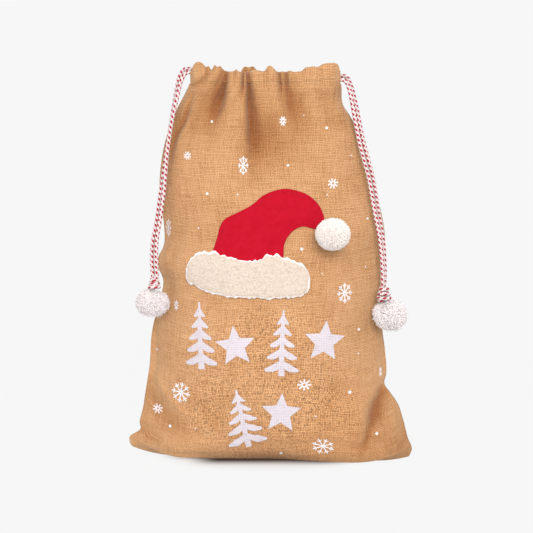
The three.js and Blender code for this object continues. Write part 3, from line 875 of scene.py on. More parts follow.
def drawcords():
    """Both drawcords: runs in the casings, free strands, knots, ties and pompoms."""
    runs = {"left": tunnel_line(-1, 0.686, 0.693, 0.6805), "right": tunnel_line(1, 0.673, 0.681, 0.672)}
    for side, line in runs.items():
        run = piece_of(side + "_cord_in_casing", [tube_part(line, CORD_D / 2, 12, relief=braid_relief)])
        dress(run, BRAID, side + "_cord")
        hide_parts(side + "_cord_run")
        end = middle(side + "_knot") + np.array([0.0, -0.002, -0.001 if side == "left" else -0.006])
        knot_size = half_size(side + "_knot") + np.array([0.0035, 0.003, 0.0045])
        tied = knot(side, end, knot_size)
        seed = 11 if side == "left" else 12
        ball_size = half_size(side + "_pompom") * np.array([0.98, 0.98, 1.0])
        centre = middle(side + "_pompom") + np.array([0.002, 0.0, -0.002])
        ball = pompom(side + "_yarn_pompom", centre, ball_size, YARN, seed, 9500, 0.42, 0.05,
                      side + "_ball", side + "_pompom", CLEFTS[side])
        bound = thread_rings(side + "_pompom_binding", middle(side + "_pompom_tie"), 0.0036, 3, 0.0006,
                             THREAD_WHITE, side + "_ball", side + "_pompom_tie")
        for place, with_pieces in (("front", [tied, ball, bound]), ("back", [])):
            name = side + "_cord_" + place + "_strand"
            piece, route = strand(name)
            float(arc_lengths(route)[-1])
            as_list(with_pieces)


drawcords()


# ---- The sack's shape ---------------------------------------------------------------------------
# Valleys of the gathers, each as rows of z, x, depth, width to its left and width to its right (mm).
GATHERS = [
    [(712, -106, 3, 3, 4), (690, -109, 6, 4, 4), (677, -112, 8, 5, 5), (668, -119, 8, 8, 6),
     (661, -133, 6, 10, 8), (652, -146, 0, 12, 10)],
    [(710, -101, 6, 3, 3), (692, -102, 6, 3, 3), (680, -104, 0, 3, 3)],
    [(710, -72, 11, 4, 3), (686, -75, 13, 4, 3.5), (660, -79, 21, 9, 3.5), (640, -83, 25, 14, 4.5),
     (622, -89, 20, 17, 7), (602, -97, 11, 20, 12), (575, -108, 4, 24, 18), (535, -120, 0, 26, 24)],
    [(710, -78, 5, 3, 3), (690, -81, 7, 3, 3), (668, -90, 6, 4, 4), (650, -97, 3, 7, 6),
     (630, -104, 0, 8, 8)],
    [(710, -59, 6, 2.5, 2.5), (690, -60, 8, 2.5, 2.5), (674, -61, 4, 3, 3), (655, -62, 0, 4, 4)],
    [(710, -46, 10, 2.5, 2.5), (685, -47, 13, 2.5, 2.5), (660, -47.5, 11, 3.5, 2.5), (638, -48, 3, 5, 4),
     (620, -48, 0, 6, 6)],
    [(710, -39, 11, 2.5, 3), (686, -39.5, 14, 2.5, 4), (660, -38.5, 20, 2.5, 7), (640, -38, 22, 3, 10),
     (612, -37, 22, 3.5, 15), (585, -35, 20, 4.5, 20), (558, -32, 14, 8, 25), (525, -29, 7, 14, 30),
     (470, -26, 0, 24, 36)],
    [(710, -8, 3, 5, 5), (690, -8, 4, 5, 5), (666, -7, 3.5, 6, 6), (640, -6, 0, 8, 8)],
    [(710, 14, 10, 3, 3), (686, 15.5, 12, 3, 3), (662, 18, 11, 3.5, 3.5), (640, 21, 5, 6, 5),
     (615, 24, 0, 9, 8)],
    [(710, 27, 9, 3, 3), (686, 28, 11, 3, 3.5), (662, 29, 12, 4, 6), (640, 33, 12.5, 7, 12),
     (615, 37, 10, 10, 17), (585, 43, 6.5, 15, 22), (545, 53, 3.5, 20, 26), (495, 68, 0, 26, 30)],
    [(710, 56, 5, 3, 3), (694, 57, 5, 3, 4), (676, 58, 2, 5, 6), (655, 60, 0, 8, 8)],
    [(700, 88, 1.5, 6, 6), (670, 90, 2, 8, 8), (640, 98, 2.5, 10, 12), (600, 110, 1.5, 14, 14),
     (560, 120, 0, 16, 16)],
    [(665, -128, 0, 4, 4), (645, -137, 4, 5, 4), (620, -143, 8, 8, 3), (597, -151, 11, 13, 3),
     (565, -168, 11, 13, 3), (535, -176, 8, 10, 4), (495, -184, 5, 8, 6), (440, -188, 2, 8, 6),
     (400, -188, 0, 8, 8)],
    [(655, -112, 0, 6, 6), (635, -119, 3.5, 8, 9), (600, -131, 4.5, 11, 11), (560, -146, 3.5, 13, 13),
     (520, -158, 0, 15, 15)],
    [(690, 40, 0, 4, 4), (660, 44, 3, 6, 6), (630, 52, 4, 9, 9), (590, 66, 3, 14, 14), (540, 84, 0, 20, 20)],
    [(650, 0, 0, 8, 8), (610, 2, 3, 10, 10), (560, 6, 3.5, 14, 14), (510, 10, 0, 18, 18)],
]

# Creases of the front: points (x, z), width and depth in mm. A positive depth is a valley.
CREASES = [
    ([(-221, 150), (-213, 112), (-196, 84), (-170, 62), (-134, 48)], 17, 6),
    ([(-215, 178), (-208, 146), (-193, 120), (-174, 98), (-146, 82), (-112, 72)], 5, -3.5),
    ([(-250, 46), (-232, 42), (-212, 34), (-190, 26)], 7, 5),
    ([(-250, 32), (-236, 28), (-218, 20)], 6, -4),
    ([(212, 132), (202, 118), (192, 100), (184, 80), (178, 60)], 15, 13),
    ([(184, 84), (176, 62), (167, 38), (160, 16)], 6, 6),
    ([(206, 140), (194, 124), (180, 110), (164, 98), (140, 90)], 7, -4),
    ([(176, 104), (166, 84), (154, 58), (146, 34)], 9, -4.5),
    ([(232, 96), (224, 70), (216, 44), (208, 20)], 12, -4),
    ([(246, 52), (236, 34), (226, 16)], 7, 3),
    ([(-150, 430), (-164, 396), (-172, 360), (-184, 330)], 12, 3.5),
    ([(-198, 352), (-178, 372), (-160, 402)], 9, -3),
    ([(-196, 330), (-180, 312), (-168, 280)], 10, 2.5),
    ([(-112, 640), (-140, 600), (-166, 566)], 8, -4),
    ([(20, 600), (60, 560), (110, 530)], 22, -2.5),
    ([(150, 590), (120, 600), (80, 592)], 13, 2.5),
    ([(168, 520), (140, 500), (112, 492)], 14, 2.5),
    ([(120, 330), (160, 352), (196, 392)], 18, 2.5),
    ([(196, 250), (168, 222), (136, 206)], 16, 2.5),
    ([(-60, 232), (0, 222), (60, 232)], 26, 2.0),
    ([(-36, 165), (10, 152), (70, 160)], 24, 2.0),
    ([(80, 62), (104, 100), (116, 150)], 14, 2.2),
    ([(-110, 50), (-84, 92), (-76, 140)], 14, 2.2),
]
BACK_CREASES = [
    ([(-216, 150), (-190, 120), (-150, 100)], 9, 6),
    ([(214, 160), (188, 124), (150, 104)], 9, 6),
    ([(-236, 56), (-190, 44), (-150, 36)], 7, 4),
    ([(240, 46), (200, 48), (150, 38)], 7, 4),
    ([(-120, 600), (-60, 560), (0, 552)], 20, 3),
    ([(120, 560), (80, 520), (20, 500)], 20, 3),
    ([(-150, 420), (-100, 400), (-60, 410)], 22, 2.5),
    ([(40, 300), (100, 290), (160, 320)], 22, 2.5),
    ([(-140, 200), (-60, 170), (30, 180)], 26, 2.5),
    ([(90, 70), (120, 110), (130, 170)], 14, 2.2),
]


def edge_pair(z):
    return along(LEFT_EDGE, z), along(RIGHT_EDGE, z)


def fullness(x, z):
    """Share of the belly's depth: a lens across the sack. Near the floor it thins out gently into the
    two flat ears; higher up it is full almost to the side seams."""
    left, right = edge_pair(z)
    low = 1 - smooth((z - 0.04) / 0.13)
    reach = mix(STUFFED_HALF, 0.252, low)
    left, right = np.maximum(left, -reach), np.minimum(right, reach)
    t = np.clip(np.abs(x - (left + right) / 2) / ((right - left) / 2), 0, 1)
    return (1 - t ** 2.2) ** mix(0.75, 1.25, low)


def bottom_edge(x):
    """Height of the bottom seam: on the floor under the filling, lifted at the ears."""
    left = np.clip((-x - 0.170) / 0.081, 0, 1)
    right = np.clip((x - 0.150) / 0.101, 0, 1)
    return 0.0145 * left ** 2.2 + 0.005 * right * right


def corner_turn(x, z):
    """How far the lower corners come forward: the filling spreads and pushes the bottom seam's two ends
    round to the front, the right one further. It dies out upward."""
    return along(TURN, x) * (1 - smooth(z / 0.17))


def crease_depth(x, z, creases):
    """Sum over the creases of depth times a bell across each line, fading at the line's two ends."""
    total = np.zeros_like(x)
    for points, wide, deep in creases:
        p = np.array(points, float) * MM
        key = arc_lengths(p)
        fine = np.linspace(0, key[-1], 24)
        line = np.stack([along(list(zip(key, p[:, k])), fine) for k in (0, 1)], axis=1)
        best = np.full(x.shape, 1.0)
        share = np.zeros_like(x)
        for i in range(len(line) - 1):
            a, way = line[i], line[i + 1] - line[i]
            t = np.clip(((x - a[0]) * way[0] + (z - a[1]) * way[1]) / (way @ way), 0, 1)
            away = np.hypot(x - a[0] - t * way[0], z - a[1] - t * way[1])
            nearer = away < best
            best = np.where(nearer, away, best)
            share = np.where(nearer, (i + t) / (len(line) - 1), share)
        fade = smooth(share / 0.3) * smooth((1 - share) / 0.3) * 0.85 + 0.15
        total += deep * MM * fade * np.exp(-((best / (wide * MM)) ** 2))
    return total


def gather_depth(x, z):
    """Valleys that fan down from the casing: depth / (1 + (distance / width) squared), steep on one
    side where a pleat leans over its neighbour. All five numbers are smooth functions of height."""
    total = np.zeros(np.broadcast(x, z).shape)
    for rows in GATHERS:
        table = np.array(rows, float)[::-1]
        height = np.clip(z / MM, table[0, 0], table[-1, 0])
        centre, deep, left, right = (along(table[:, [0, k]], height) for k in (1, 2, 3, 4))
        off = x / MM - centre
        off = off / np.where(off < 0, left, right)
        total += np.maximum(deep, 0) * MM / (1 + off * off)
    return total


def gathers_on(x, z, front):
    """The front's gathers, or for the back the same ones seen from behind and a little shifted."""
    return gather_depth(x, z) if front else gather_depth(-x - 0.016, z)


def half_depth(x, z, rise, front):
    """How far the cloth stands from the sack's middle plane. Above the mouth line it tucks in behind
    the casing's outer layer."""
    rim = 0.0016 + 0.011 * smooth((z - SLIT_Z + 0.012) / (MOUTH_Z - SLIT_Z + 0.012))
    full = fullness(x, z)
    plain = rim + (along(BELLY, rise) - rim) * full
    room = smooth(full * 2.4)
    seed = 3 if front else 4
    sway = 0.0030 * lattice_noise(x / 0.085 + 5, z / 0.11 + 9, seed)
    ripple = 0.0009 * lattice_noise(x / 0.030 + 31, z / 0.042 + 4, seed + 20)
    creases = crease_depth(x, z, CREASES if front else BACK_CREASES)
    fluff = 0.012 * np.exp(-(((MOUTH_Z - z) / 0.085) ** 2)) * smooth(full * 3)
    tuck = 0.3 * np.maximum(z - MOUTH_Z, 0)
    off_floor = smooth(rise / 0.05)
    folds = creases * smooth(full * 5 + 0.25) * off_floor + gathers_on(x, z, front) * smooth(full * 4 + 0.15)
    return plain + fluff + room * (sway + ripple) * off_floor - folds - tuck


PANEL_TOP = MOUTH_Z + 0.004
PANEL_ROWS = 250
PANEL_COLS = 230
FLOOR_ROWS = 12


def panel_points(front):
    """Grid of a panel: columns cross the sack, rows run out along the floor, round the heel and up to
    the casing. Rows near the floor are flat under the filling and spread evenly along the ears."""
    r = np.arange(PANEL_ROWS + 1)[:, None]
    u = (np.arange(PANEL_COLS + 1) / PANEL_COLS)[None, :]
    v = np.maximum(0, (r - FLOOR_ROWS) / (PANEL_ROWS - FLOOR_ROWS))
    rise = PANEL_TOP * v ** 1.12 + 0 * u
    low = mix(LEFT_EDGE[0][1], RIGHT_EDGE[0][1], u)
    z0 = bottom_edge(low)
    flat = fullness(low, np.zeros_like(low)) ** 0.4
    z = mix(z0 + (PANEL_TOP - z0) * (r / PANEL_ROWS) ** 1.12, np.maximum(rise, z0), flat)
    left, right = edge_pair(z)
    x = mix(left, right, u)
    out = np.minimum(1, r / FLOOR_ROWS)
    y = mix(0.0008, half_depth(x, z, rise, front), out)
    return np.stack([x, (-y if front else y) + corner_turn(x, z), z], axis=-1)


def flat_uv(points):
    """Metres of cloth: arc length across each row from its middle, and mean arc length up a column."""
    across = np.linalg.norm(np.diff(points, axis=1), axis=-1)
    u = np.concatenate([np.zeros((len(points), 1)), np.cumsum(across, axis=1)], axis=1)
    u -= u[:, [u.shape[1] // 2]]
    up = np.linalg.norm(np.diff(points, axis=0), axis=-1).mean(axis=1)
    v = np.concatenate([[0.0], np.cumsum(up)])[:, None] + 0 * u
    return np.stack([u, v], axis=-1)


FRONT = panel_points(True)
FRONT_UV = flat_uv(FRONT)
BACK = panel_points(False)
BACK_UV = flat_uv(BACK)


def front_y(x, z):
    """Y of the front cloth's outside above the heel."""
    return -half_depth(x, z, z, True) + corner_turn(x, z)


def front_uv(x, z):
    """The front panel's cloth coordinates at x, z, read between the nearest grid points."""
    left, right = edge_pair(z)
    c = np.clip((x - left) / (right - left), 0, 1) * PANEL_COLS
    column_z = FRONT[:, PANEL_COLS // 2, 2]
    r = np.interp(z, column_z[FLOOR_ROWS:], np.arange(FLOOR_ROWS, PANEL_ROWS + 1))
    r0 = np.clip(r.astype(int), 0, PANEL_ROWS - 1)
    c0 = np.clip(c.astype(int), 0, PANEL_COLS - 1)
    fr, fc = (r - r0)[..., None], (c - c0)[..., None]
    low = mix(FRONT_UV[r0, c0], FRONT_UV[r0, c0 + 1], fc)
    high = mix(FRONT_UV[r0 + 1, c0], FRONT_UV[r0 + 1, c0 + 1], fc)
    return mix(low, high, fr)


def panel(front):
    """A panel as a cloth sheet with its thickness inwards, bending into the lip at its top."""
    points = FRONT if front else BACK
    faces = grid_faces(PANEL_ROWS + 1, PANEL_COLS + 1)
    uvs = grid_uvs(FRONT_UV if front else BACK_UV)
    if not front:
        faces, uvs = faces[:, ::-1], uvs[:, ::-1]
    word = "front" if front else "back"
    piece = new_piece(word + "_cloth", points.reshape(-1, 3), faces, uvs)
    x, z = points[..., 0], points[..., 2]
    creases = np.maximum(crease_depth(x, z, CREASES if front else BACK_CREASES), 0)
    # Painted shade towards the bottom, stronger to the right, stored with the painted shade of the gathers
    # and creases.
    low_shade_spread = 0.10 + 0.28 * smooth((x + 0.12) / 0.30)
    painted_low_shade = low_shade_spread * (1 - smooth((z - 0.015) / 0.125))
    mark_painted_shade(piece, gathers_on(x, z, front) / 0.0145 + creases / 0.014 + painted_low_shade)
    thicken(piece, CLOTH)
    dress(piece, JUTE)
    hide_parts(word + "_panel")
    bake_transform(piece)
    return piece


front_cloth = panel(True)
back_cloth = panel(False)


# ---- Casings ------------------------------------------------------------------------------------
# Height of each casing's upper fold along the lip, as (x, z) in mm.
FRONT_TOP = [
    (-140, 685), (-136, 695), (-127, 703), (-118, 700), (-112, 694), (-107, 695), (-103, 689), (-97, 697),
    (-92, 694), (-87, 695), (-80, 688), (-73, 686), (-66, 686), (-60, 687), (-54, 686), (-47, 684),
    (-43, 686), (-39, 683), (-34, 687), (-22, 688), (-8, 688), (-3, 695), (5, 693), (12, 686), (16, 685),
    (22, 686), (28, 685), (34, 687), (43, 685), (50, 686), (56, 687), (60, 691), (70, 694), (76, 695),
    (83, 694), (93, 699), (106, 701), (117, 700), (121, 697), (124, 687),
]
BACK_TOP = [
    (-140, 687), (-128, 694), (-112, 690), (-96, 691), (-80, 687), (-68, 687), (-60, 693), (-54, 687),
    (-48, 696), (-38, 697), (-27, 696), (-21, 687), (-8, 689), (4, 687), (20, 687), (34, 687), (46, 685),
    (60, 687), (76, 690), (94, 693), (112, 695), (120, 693), (124, 687),
]
LIP_REACH = 0.0015


def lip_outside(x, z, front):
    """Depth of a casing's outer layer: it carries on from the panel's top edge with the same gathers,
    swells a little over the tunnel, and never comes closer than the cord inside allows."""
    x, z = np.broadcast_arrays(x, z)
    low = np.full(x.shape, MOUTH_Z)
    start = half_depth(x, low, low, front) + gathers_on(x, low, front)
    up = np.clip((z - MOUTH_Z) / (LIP_TOP_Z - MOUTH_Z), 0, 1)
    below = np.maximum(MOUTH_Z - z, 0)
    free = start + 0.003 * np.sin(PI * up) - 0.004 * up - 0.3 * below - gathers_on(x, z, front)
    least = lip_line(x) + 0.0048 - 0.004 * (1 - smooth((z - MOUTH_Z) / 0.007)) * 2
    gap = free - least
    return least + 0.5 * (gap + np.sqrt(gap * gap + 0.0016 ** 2))


def casing(front):
    """A tunnel of folded cloth along the lip. Each section runs up the outer layer, over the uneven
    top fold and down the inner layer; at the ends the two layers meet, except round the cord."""
    cols, around = 300, 60
    x = np.linspace(LIP_LEFT - LIP_REACH, LIP_RIGHT + LIP_REACH, cols)[:, None]
    top = along(np.array(FRONT_TOP if front else BACK_TOP) * MM, x)
    a = (np.arange(around) / around)[None, :]
    rise = np.clip(np.sin(np.clip(a, 0, 0.5) * PI), 0, 1)
    fall = np.clip(np.sin(np.clip(1 - a, 0, 0.5) * PI), 0, 1)
    share = np.where(a < 0.5, rise ** 0.9, fall ** 0.9)
    foot = MOUTH_Z - 0.004
    z = foot + (top - foot) * share
    outside = lip_outside(x, z, front)
    inside = np.minimum(outside - 0.0095, lip_line(x) - 0.0045)
    inside = mix(outside - 0.0022, inside, smooth((z - MOUTH_Z) / 0.012))
    middle_y = (outside + inside) / 2
    half = (outside - inside) / 2
    crest = np.sqrt(np.clip(1 - np.clip((z - (top - 0.006)) / 0.006, 0, 1) ** 2, 0, 1))
    from_end = np.minimum(x - x[0], x[-1] - x)
    close = np.sqrt(np.clip(1 - (1 - np.clip(from_end / 0.007, 0, 1)) ** 2, 0, 1))
    hole = np.where(x < 0, 0.686 if front else 0.693, 0.673 if front else 0.681)
    open_ = 0.0042 * np.exp(-(((z - hole) / 0.0055) ** 2)) + 0.0007
    half = half * crest * close + np.maximum(open_ * (1 - close), 0.0)
    side = np.where(a < 0.5, 1.0, -1.0)
    y = middle_y + side * half
    points = np.stack([x + 0 * z, -y if front else y, z], axis=-1)
    faces = grid_faces(cols, around, closed=True)
    panel_top = FRONT[-1] if front else BACK[-1]
    top_uv = (FRONT_UV if front else BACK_UV)[-1]
    u = np.interp(x, panel_top[:, 0], top_uv[:, 0]) + 0 * z
    u = np.concatenate([u, u[:, :1]], axis=1)
    v = top_uv[0, 1] + np.where(a < 0.5, z - PANEL_TOP, 2 * top - z - PANEL_TOP)
    v = np.concatenate([v, v[:, -1:] + 0.001], axis=1)
    uvs = grid_uvs(np.stack([u, v], axis=-1))
    if front:
        faces, uvs = faces[:, ::-1], uvs[:, ::-1]
    word = "front" if front else "back"
    piece = new_piece(word + "_casing_cloth", points.reshape(-1, 3), faces, uvs)
    # Painted shade in the casing's gathers, deepest in the valleys.
    mark_painted_shade(piece, gathers_on(x + 0 * z, z, front) / 0.016)
    dress(piece, JUTE, word + "_lip")
    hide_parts(word + "_casing")
    return piece, points


front_band, FRONT_BAND = casing(True)
back_band, BACK_BAND = casing(False)


def stitch_part(a, b, out, gauge):
    """One stitch from a to b, lying on the side that out points to: a small flattened capsule."""
    way = b - a
    long = np.linalg.norm(way)
    x_axis = way / long
    z_axis = unit(out - np.dot(out, x_axis) * x_axis)
    axes = np.stack([np.cross(z_axis, x_axis), z_axis, x_axis])
    return blob_part((a + b) / 2 + z_axis * gauge * 0.4, axes, (gauge, gauge * 0.8, long / 2), 5, 6)


def stitches(line, outs, length, gap, gauge):
    """Stitches of equal length along a line, with small gaps, each on the cloth's outside."""
    key = arc_lengths(line)
    parts = []
    starts = np.arange(gap, key[-1] - length, length + gap)
    for start in starts:
        ends = [
            np.array([np.interp(s, key, line[:, k]) for k in range(3)]) for s in (start, start + length)
        ]
        out = np.array([np.interp(start, key, outs[:, k]) for k in range(3)])
        parts.append(stitch_part(ends[0], ends[1], out, gauge))
    return parts


def casing_seam(front, band):
    """The row of stitches along a casing's foot, on the outside of the lip."""
    line = band[8:-8, 6]
    side = -1.0 if front else 1.0
    outs = np.tile([0.0, side, 0.0], (len(line), 1))
    word = "front" if front else "back"
    piece = piece_of(word + "_casing_stitches", stitches(line, outs, 0.0042, 0.0014, 0.00055))
    dress(piece, THREAD, word + "_lip")
    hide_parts(word + "_casing_stitching")


casing_seam(True, FRONT_BAND)
casing_seam(False, BACK_BAND)


# ---- Seams inside -------------------------------------------------------------------------------
def seam_strip(name, node, line, inwards, thread_body="sack"):
    """The allowance along a seam: two layers folded together inside the edge, a lens in section, with
    an uneven inner edge."""
    steps = len(line)
    rng = np.random.default_rng(len(name))
    deep = 0.0075 + rng.normal(0, 0.0003, steps)
    a = np.linspace(0, TAU, 14, endpoint=False)
    reach = (0.5 - 0.5 * np.cos(a))[None, :] * deep[:, None] + 0.0006
    thick = np.sin(a)[None, :] * 0.0013 * (1 + 0.3 * np.sin(a * 2))[None, :]
    points = line[:, None] + inwards[:, None] * reach[..., None]
    points = points + np.array([0, 1.0, 0]) * thick[..., None]
    length = arc_lengths(line)
    uv = np.stack(np.broadcast_arrays(np.linspace(0, 0.02, 15)[None, :], length[:, None]), axis=-1)
    faces = [grid_faces(steps, 14, closed=True)]
    verts = np.concatenate([points.reshape(-1, 3), points[[0, -1]].mean(axis=1)])
    c = np.arange(14)
    n = (c + 1) % 14
    base = (steps - 1) * 14
    faces += [
        np.stack([np.full(14, len(verts) - 2), n, c], 1),
        np.stack([np.full(14, len(verts) - 1), base + c, base + n], 1),
    ]
    uvs = [grid_uvs(uv), np.zeros((14, 3, 2)), np.zeros((14, 3, 2))]
    piece = piece_of(name, [(verts, faces, uvs)])
    dress(piece, JUTE_SHADED_INSIDE, thread_body)
    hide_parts(node)
    return piece


def seams():
    """The two side seams, the bottom seam and the bartacks at the ends of the slits."""
    z = np.linspace(0.050, SLIT_Z, 150)
    for side, way in (("left", 1.0), ("right", -1.0)):
        x = edge_pair(z)[0 if side == "left" else 1]
        line = np.stack([x, corner_turn(x, z), z], axis=1)
        slope = unit(np.gradient(line, axis=0))
        inward = np.stack([slope[:, 2], np.zeros_like(x), -slope[:, 0]], axis=1) * way
        seam_strip(side + "_seam_allowance", side + "_side_seam", line, inward)
        top = np.array([x[-1] + way * 0.004, 0.0, SLIT_Z + 0.003])
        bar = [
            stitch_part(top + [-0.0035, 0, k * 0.0007], top + [0.0035, 0, k * 0.0007 + 0.0003],
                        np.array([0, s, 0.0]), 0.0005)
            for k in range(-3, 4) for s in (-1.0, 1.0)
        ]
        tack = piece_of(side + "_slit_bartack", bar)
        dress(tack, THREAD, "sack")
        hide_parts(side + "_bartack")
    x = np.linspace(-0.244, 0.246, 160)
    rise = bottom_edge(x)
    line = np.stack([x, corner_turn(x, rise), rise + 0.0004], axis=1)
    inward = np.tile([0.0, 0.0, 1.0], (len(x), 1))
    seam_strip("bottom_seam_allowance", "bottom_seam", line, inward)


seams()


# ---- Printed shapes -----------------------------------------------------------------------------
INK_LIFT = 0.00045
DRAW_IN = 0.990
DRAW_FROM = np.array([-6.0, 345.0])


def settle(flat):
    """(x, z) in mm as laid out flat, drawn in slightly toward the sack's middle as the cloth bellies."""
    return (flat - DRAW_FROM) * DRAW_IN + DRAW_FROM


def on_cloth(flat, lift=INK_LIFT):
    """Puts an array of (x, z) points in mm on the front cloth, a little proud of it."""
    flat = settle(flat)
    x, z = flat[..., 0] * MM, flat[..., 1] * MM
    return np.stack([x, front_y(x, z) - lift, z], axis=-1)


def cloth_uv(flat):
    """Weave coordinates under (x, z) points in mm."""
    flat = settle(flat) * MM
    return front_uv(flat[..., 0], flat[..., 1])


def brush_part(points, widths, cell=2.2, layer=0):
    """A brush stroke in mm: a ribbon along a smooth line, with a given width at each point and slightly
    ragged sides."""
    p = np.array([(a, 0.0, b) for a, b in points], float)
    line = smooth_route(p, cell)
    key = arc_lengths(p) / arc_lengths(p)[-1]
    share = np.linspace(0, 1, len(line))
    wide = np.interp(share, key, widths) / 2
    rough = 0.10 * lattice_noise(share * len(line) * 0.5, np.full_like(share, points[0][0]), 77)
    way = unit(np.gradient(line, axis=0))
    side = np.stack([-way[:, 2], way[:, 0]], axis=1)
    cross = np.linspace(-1, 1, max(int(np.max(widths) / cell), 1) + 2)
    flat = line[:, None, [0, 2]] + side[:, None] * (wide * (1 + rough))[:, None, None] * cross[:, None]
    verts = on_cloth(flat, INK_LIFT + 0.00007 * layer)
    uv = cloth_uv(flat)
    return verts.reshape(-1, 3), [grid_faces(len(line), len(cross))[:, ::-1]], [grid_uvs(uv)[:, ::-1]]


def disc_part(x, z, radius, sides=14, star=0.0, turn=0.0, rings=3):
    """A filled round, or a five-pointed star with straight sides whose inner corners lie at star times
    the radius."""
    a = np.arange(sides) * TAU / sides
    spoke = np.ones(sides)
    if star:
        fold = np.abs((a * 5 / TAU) % 1 - 0.5) * 2
        part_turn = (1 - fold) * PI / 5
        corner = star * np.array([math.sin(PI / 5), math.cos(PI / 5)])
        spoke = corner[0] / (corner[0] * np.cos(part_turn) + (1 - corner[1]) * np.sin(part_turn))
    r = np.linspace(0.0, 1.0, rings + 1)[1:]
    flat = np.stack([
        x + radius * r[:, None] * spoke * np.sin(a + turn),
        z + radius * r[:, None] * spoke * np.cos(a + turn),
    ], axis=-1)
    verts = on_cloth(flat).reshape(-1, 3)
    uv = cloth_uv(flat)
    uv = np.concatenate([uv, uv[:, :1]], axis=1)
    hub = on_cloth(np.array([[x, z]], float))
    verts = np.concatenate([verts, hub])
    c = np.arange(sides)
    n = (c + 1) % sides
    fan = np.stack([np.full(sides, len(verts) - 1), c, n], 1)
    hub_uv = cloth_uv(np.array([[x, z]], float))[0]
    fan_uv = np.stack([np.tile(hub_uv, (sides, 1)), uv[0, c], uv[0, c + 1]], axis=1)
    return verts, [grid_faces(rings, sides, closed=True), fan[:, ::-1]], [grid_uvs(uv), fan_uv[:, ::-1]]


# A fir's boughs: height as a share of the tree, reach as a share of its half width, stroke width in mm.
BOUGHS = [(0.90, 0.34, 7), (0.74, 0.54, 9), (0.57, 0.72, 10.5), (0.39, 0.88, 12), (0.20, 1.0, 13)]


def fir_tree(x, z, wide, tall, turn=0.0):
    """A fir painted in strokes: a trunk and drooping boughs that grow longer downwards."""
    c, s = math.cos(turn), math.sin(turn)

    def at(u, v):
        px, pz = u * wide / 2, (v - 0.5) * tall
        return (x + px * c - pz * s, z + px * s + pz * c)

    strokes = [([at(0.02, 1.0), at(0.0, 0.7), at(-0.02, 0.3), at(0.0, 0.0)], [3, 7, 9, 11])]
    for level, reach, wide_stroke in BOUGHS:
        for way in (-1, 1):
            strokes.append((
                [at(0, level), at(way * reach * 0.55, level - 0.085), at(way * reach, level - 0.115)],
                [wide_stroke * 0.8, wide_stroke, wide_stroke * 0.35],
            ))
    return [brush_part(points, widths, layer=k) for k, (points, widths) in enumerate(strokes)]


FLAKE_ARMS = 8


def snowflake(x, z, size, wide=1.0, turn=0.2):
    """Eight arms, plain on a small flake and forked on a big one, squeezed to a share of its width
    where it was printed on a slack fold."""
    parts = []
    big = size > 23
    centre = np.array([x, z], float)
    squeeze = np.array([wide, 1.0])
    r = size / 2
    gauge = min(1.0, wide + 0.25)
    for k in range(FLAKE_ARMS):
        a = (turn if wide > 0.7 else 0.0) + k * TAU / FLAKE_ARMS
        way = np.array([math.sin(a), math.cos(a)])
        side = np.array([way[1], -way[0]])
        arm = [centre + way * r * (0.04 if big else 0.20) * squeeze, centre + way * r * squeeze]
        thick = r * (0.13 if big else 0.27) * gauge
        parts.append(brush_part(arm, [thick, thick], 1.6))
        if big:
            fork = way * r * 0.62
            for s in (-1, 1):
                tip = fork + (way * 0.9 + side * s) * r * 0.24
                parts.append(brush_part([centre + fork * squeeze, centre + tip * squeeze],
                                        [r * 0.11 * gauge, r * 0.10 * gauge], 1.6))
    return parts


TREES = [(-124, 222, 56, 120, 0.04), (22, 212, 60, 118, -0.03), (-49, 76, 70, 108, 0.22)]
STARS = [(-61, 206, 37, -0.12), (97, 213, 38, 0.1), (20, 86, 37, 0.05)]
FLAKES = [
    (23, 602, 17, 0.75), (-147, 541, 15, 0.95), (-47, 524, 33, 0.55), (112, 492, 19, 1.0),
    (-183, 411, 32, 0.34), (-168, 273, 18, 0.5), (133, 298, 36, 0.75), (-160, 117, 36, 0.95),
    (-204, 82, 17, 1.15), (61, 137, 21, 1.2), (94, 29, 28, 1.4), (202, 148, 16, 0.4),
]
DOTS = [
    (-103, 601, 2.2), (101, 590, 2.6), (32, 524, 2.4), (-111, 474, 2.6), (56, 378, 2.8), (175, 429, 2.2),
    (-207, 187, 2.4), (-180, 55, 2.6), (20, 11, 2.6), (143, 120, 3.0), (160, 230, 2.6),
    (190, 50, 2.6), (60, 612, 1.2), (-57, 473, 1.4), (146, 541, 1.4), (102, 472, 1.4), (-127, 413, 1.4),
    (92, 334, 1.2), (172, 342, 1.4), (-133, 55, 1.4), (81, 81, 1.4), (159, 187, 1.4),
]


def prints():
    """Everything printed on the front, grouped by shape."""
    trees = [part for tree in TREES for part in fir_tree(*tree)]
    stars = [disc_part(x, z, r, 60, 0.46, turn, 10) for x, z, r, turn in STARS]
    flakes = [part for flake in FLAKES for part in snowflake(*flake, turn=0.2 + flake[0] * 0.01)]
    dots = [disc_part(x, z, r, 12) for x, z, r in DOTS]
    made = []
    for name, parts in (("trees", trees), ("stars", stars), ("snowflakes", flakes), ("dots", dots)):
        piece = piece_of("printed_" + name, parts)
        dress(piece, INK if name in ("trees", "stars") else INK_THICK, "sack")
        made.append(piece)
    return made


printed = prints()

# ---- Hat applique -------------------------------------------------------------------------------
CROWN_OUTER = [
    (-107, 347), (-103, 367), (-94, 395), (-88, 417), (-78, 431), (-56, 442), (-32, 455), (-11, 472),
    (16, 482), (39, 482), (66, 473), (86, 455), (96, 434),
]
CROWN_INNER = [
    (22, 339), (23, 357), (24, 371), (25, 385), (30, 397), (37, 406), (44, 412), (52, 416),
    (61, 417), (70, 415), (79, 413), (88, 417), (95, 428),
]
BRIM_TOP = [
    (-150, 338), (-142, 358), (-130, 368), (-114, 371), (-92, 370), (-67, 364), (-39, 360), (-17, 360),
    (1, 367), (24, 364), (47, 356), (65, 343), (71, 325),
]
BRIM_LOW = [
    (-150, 324), (-144, 314), (-134, 309), (-121, 304), (-101, 299), (-81, 294), (-57, 292), (-33, 291),
    (-10, 291), (14, 291), (38, 292), (59, 296), (70, 308),
]


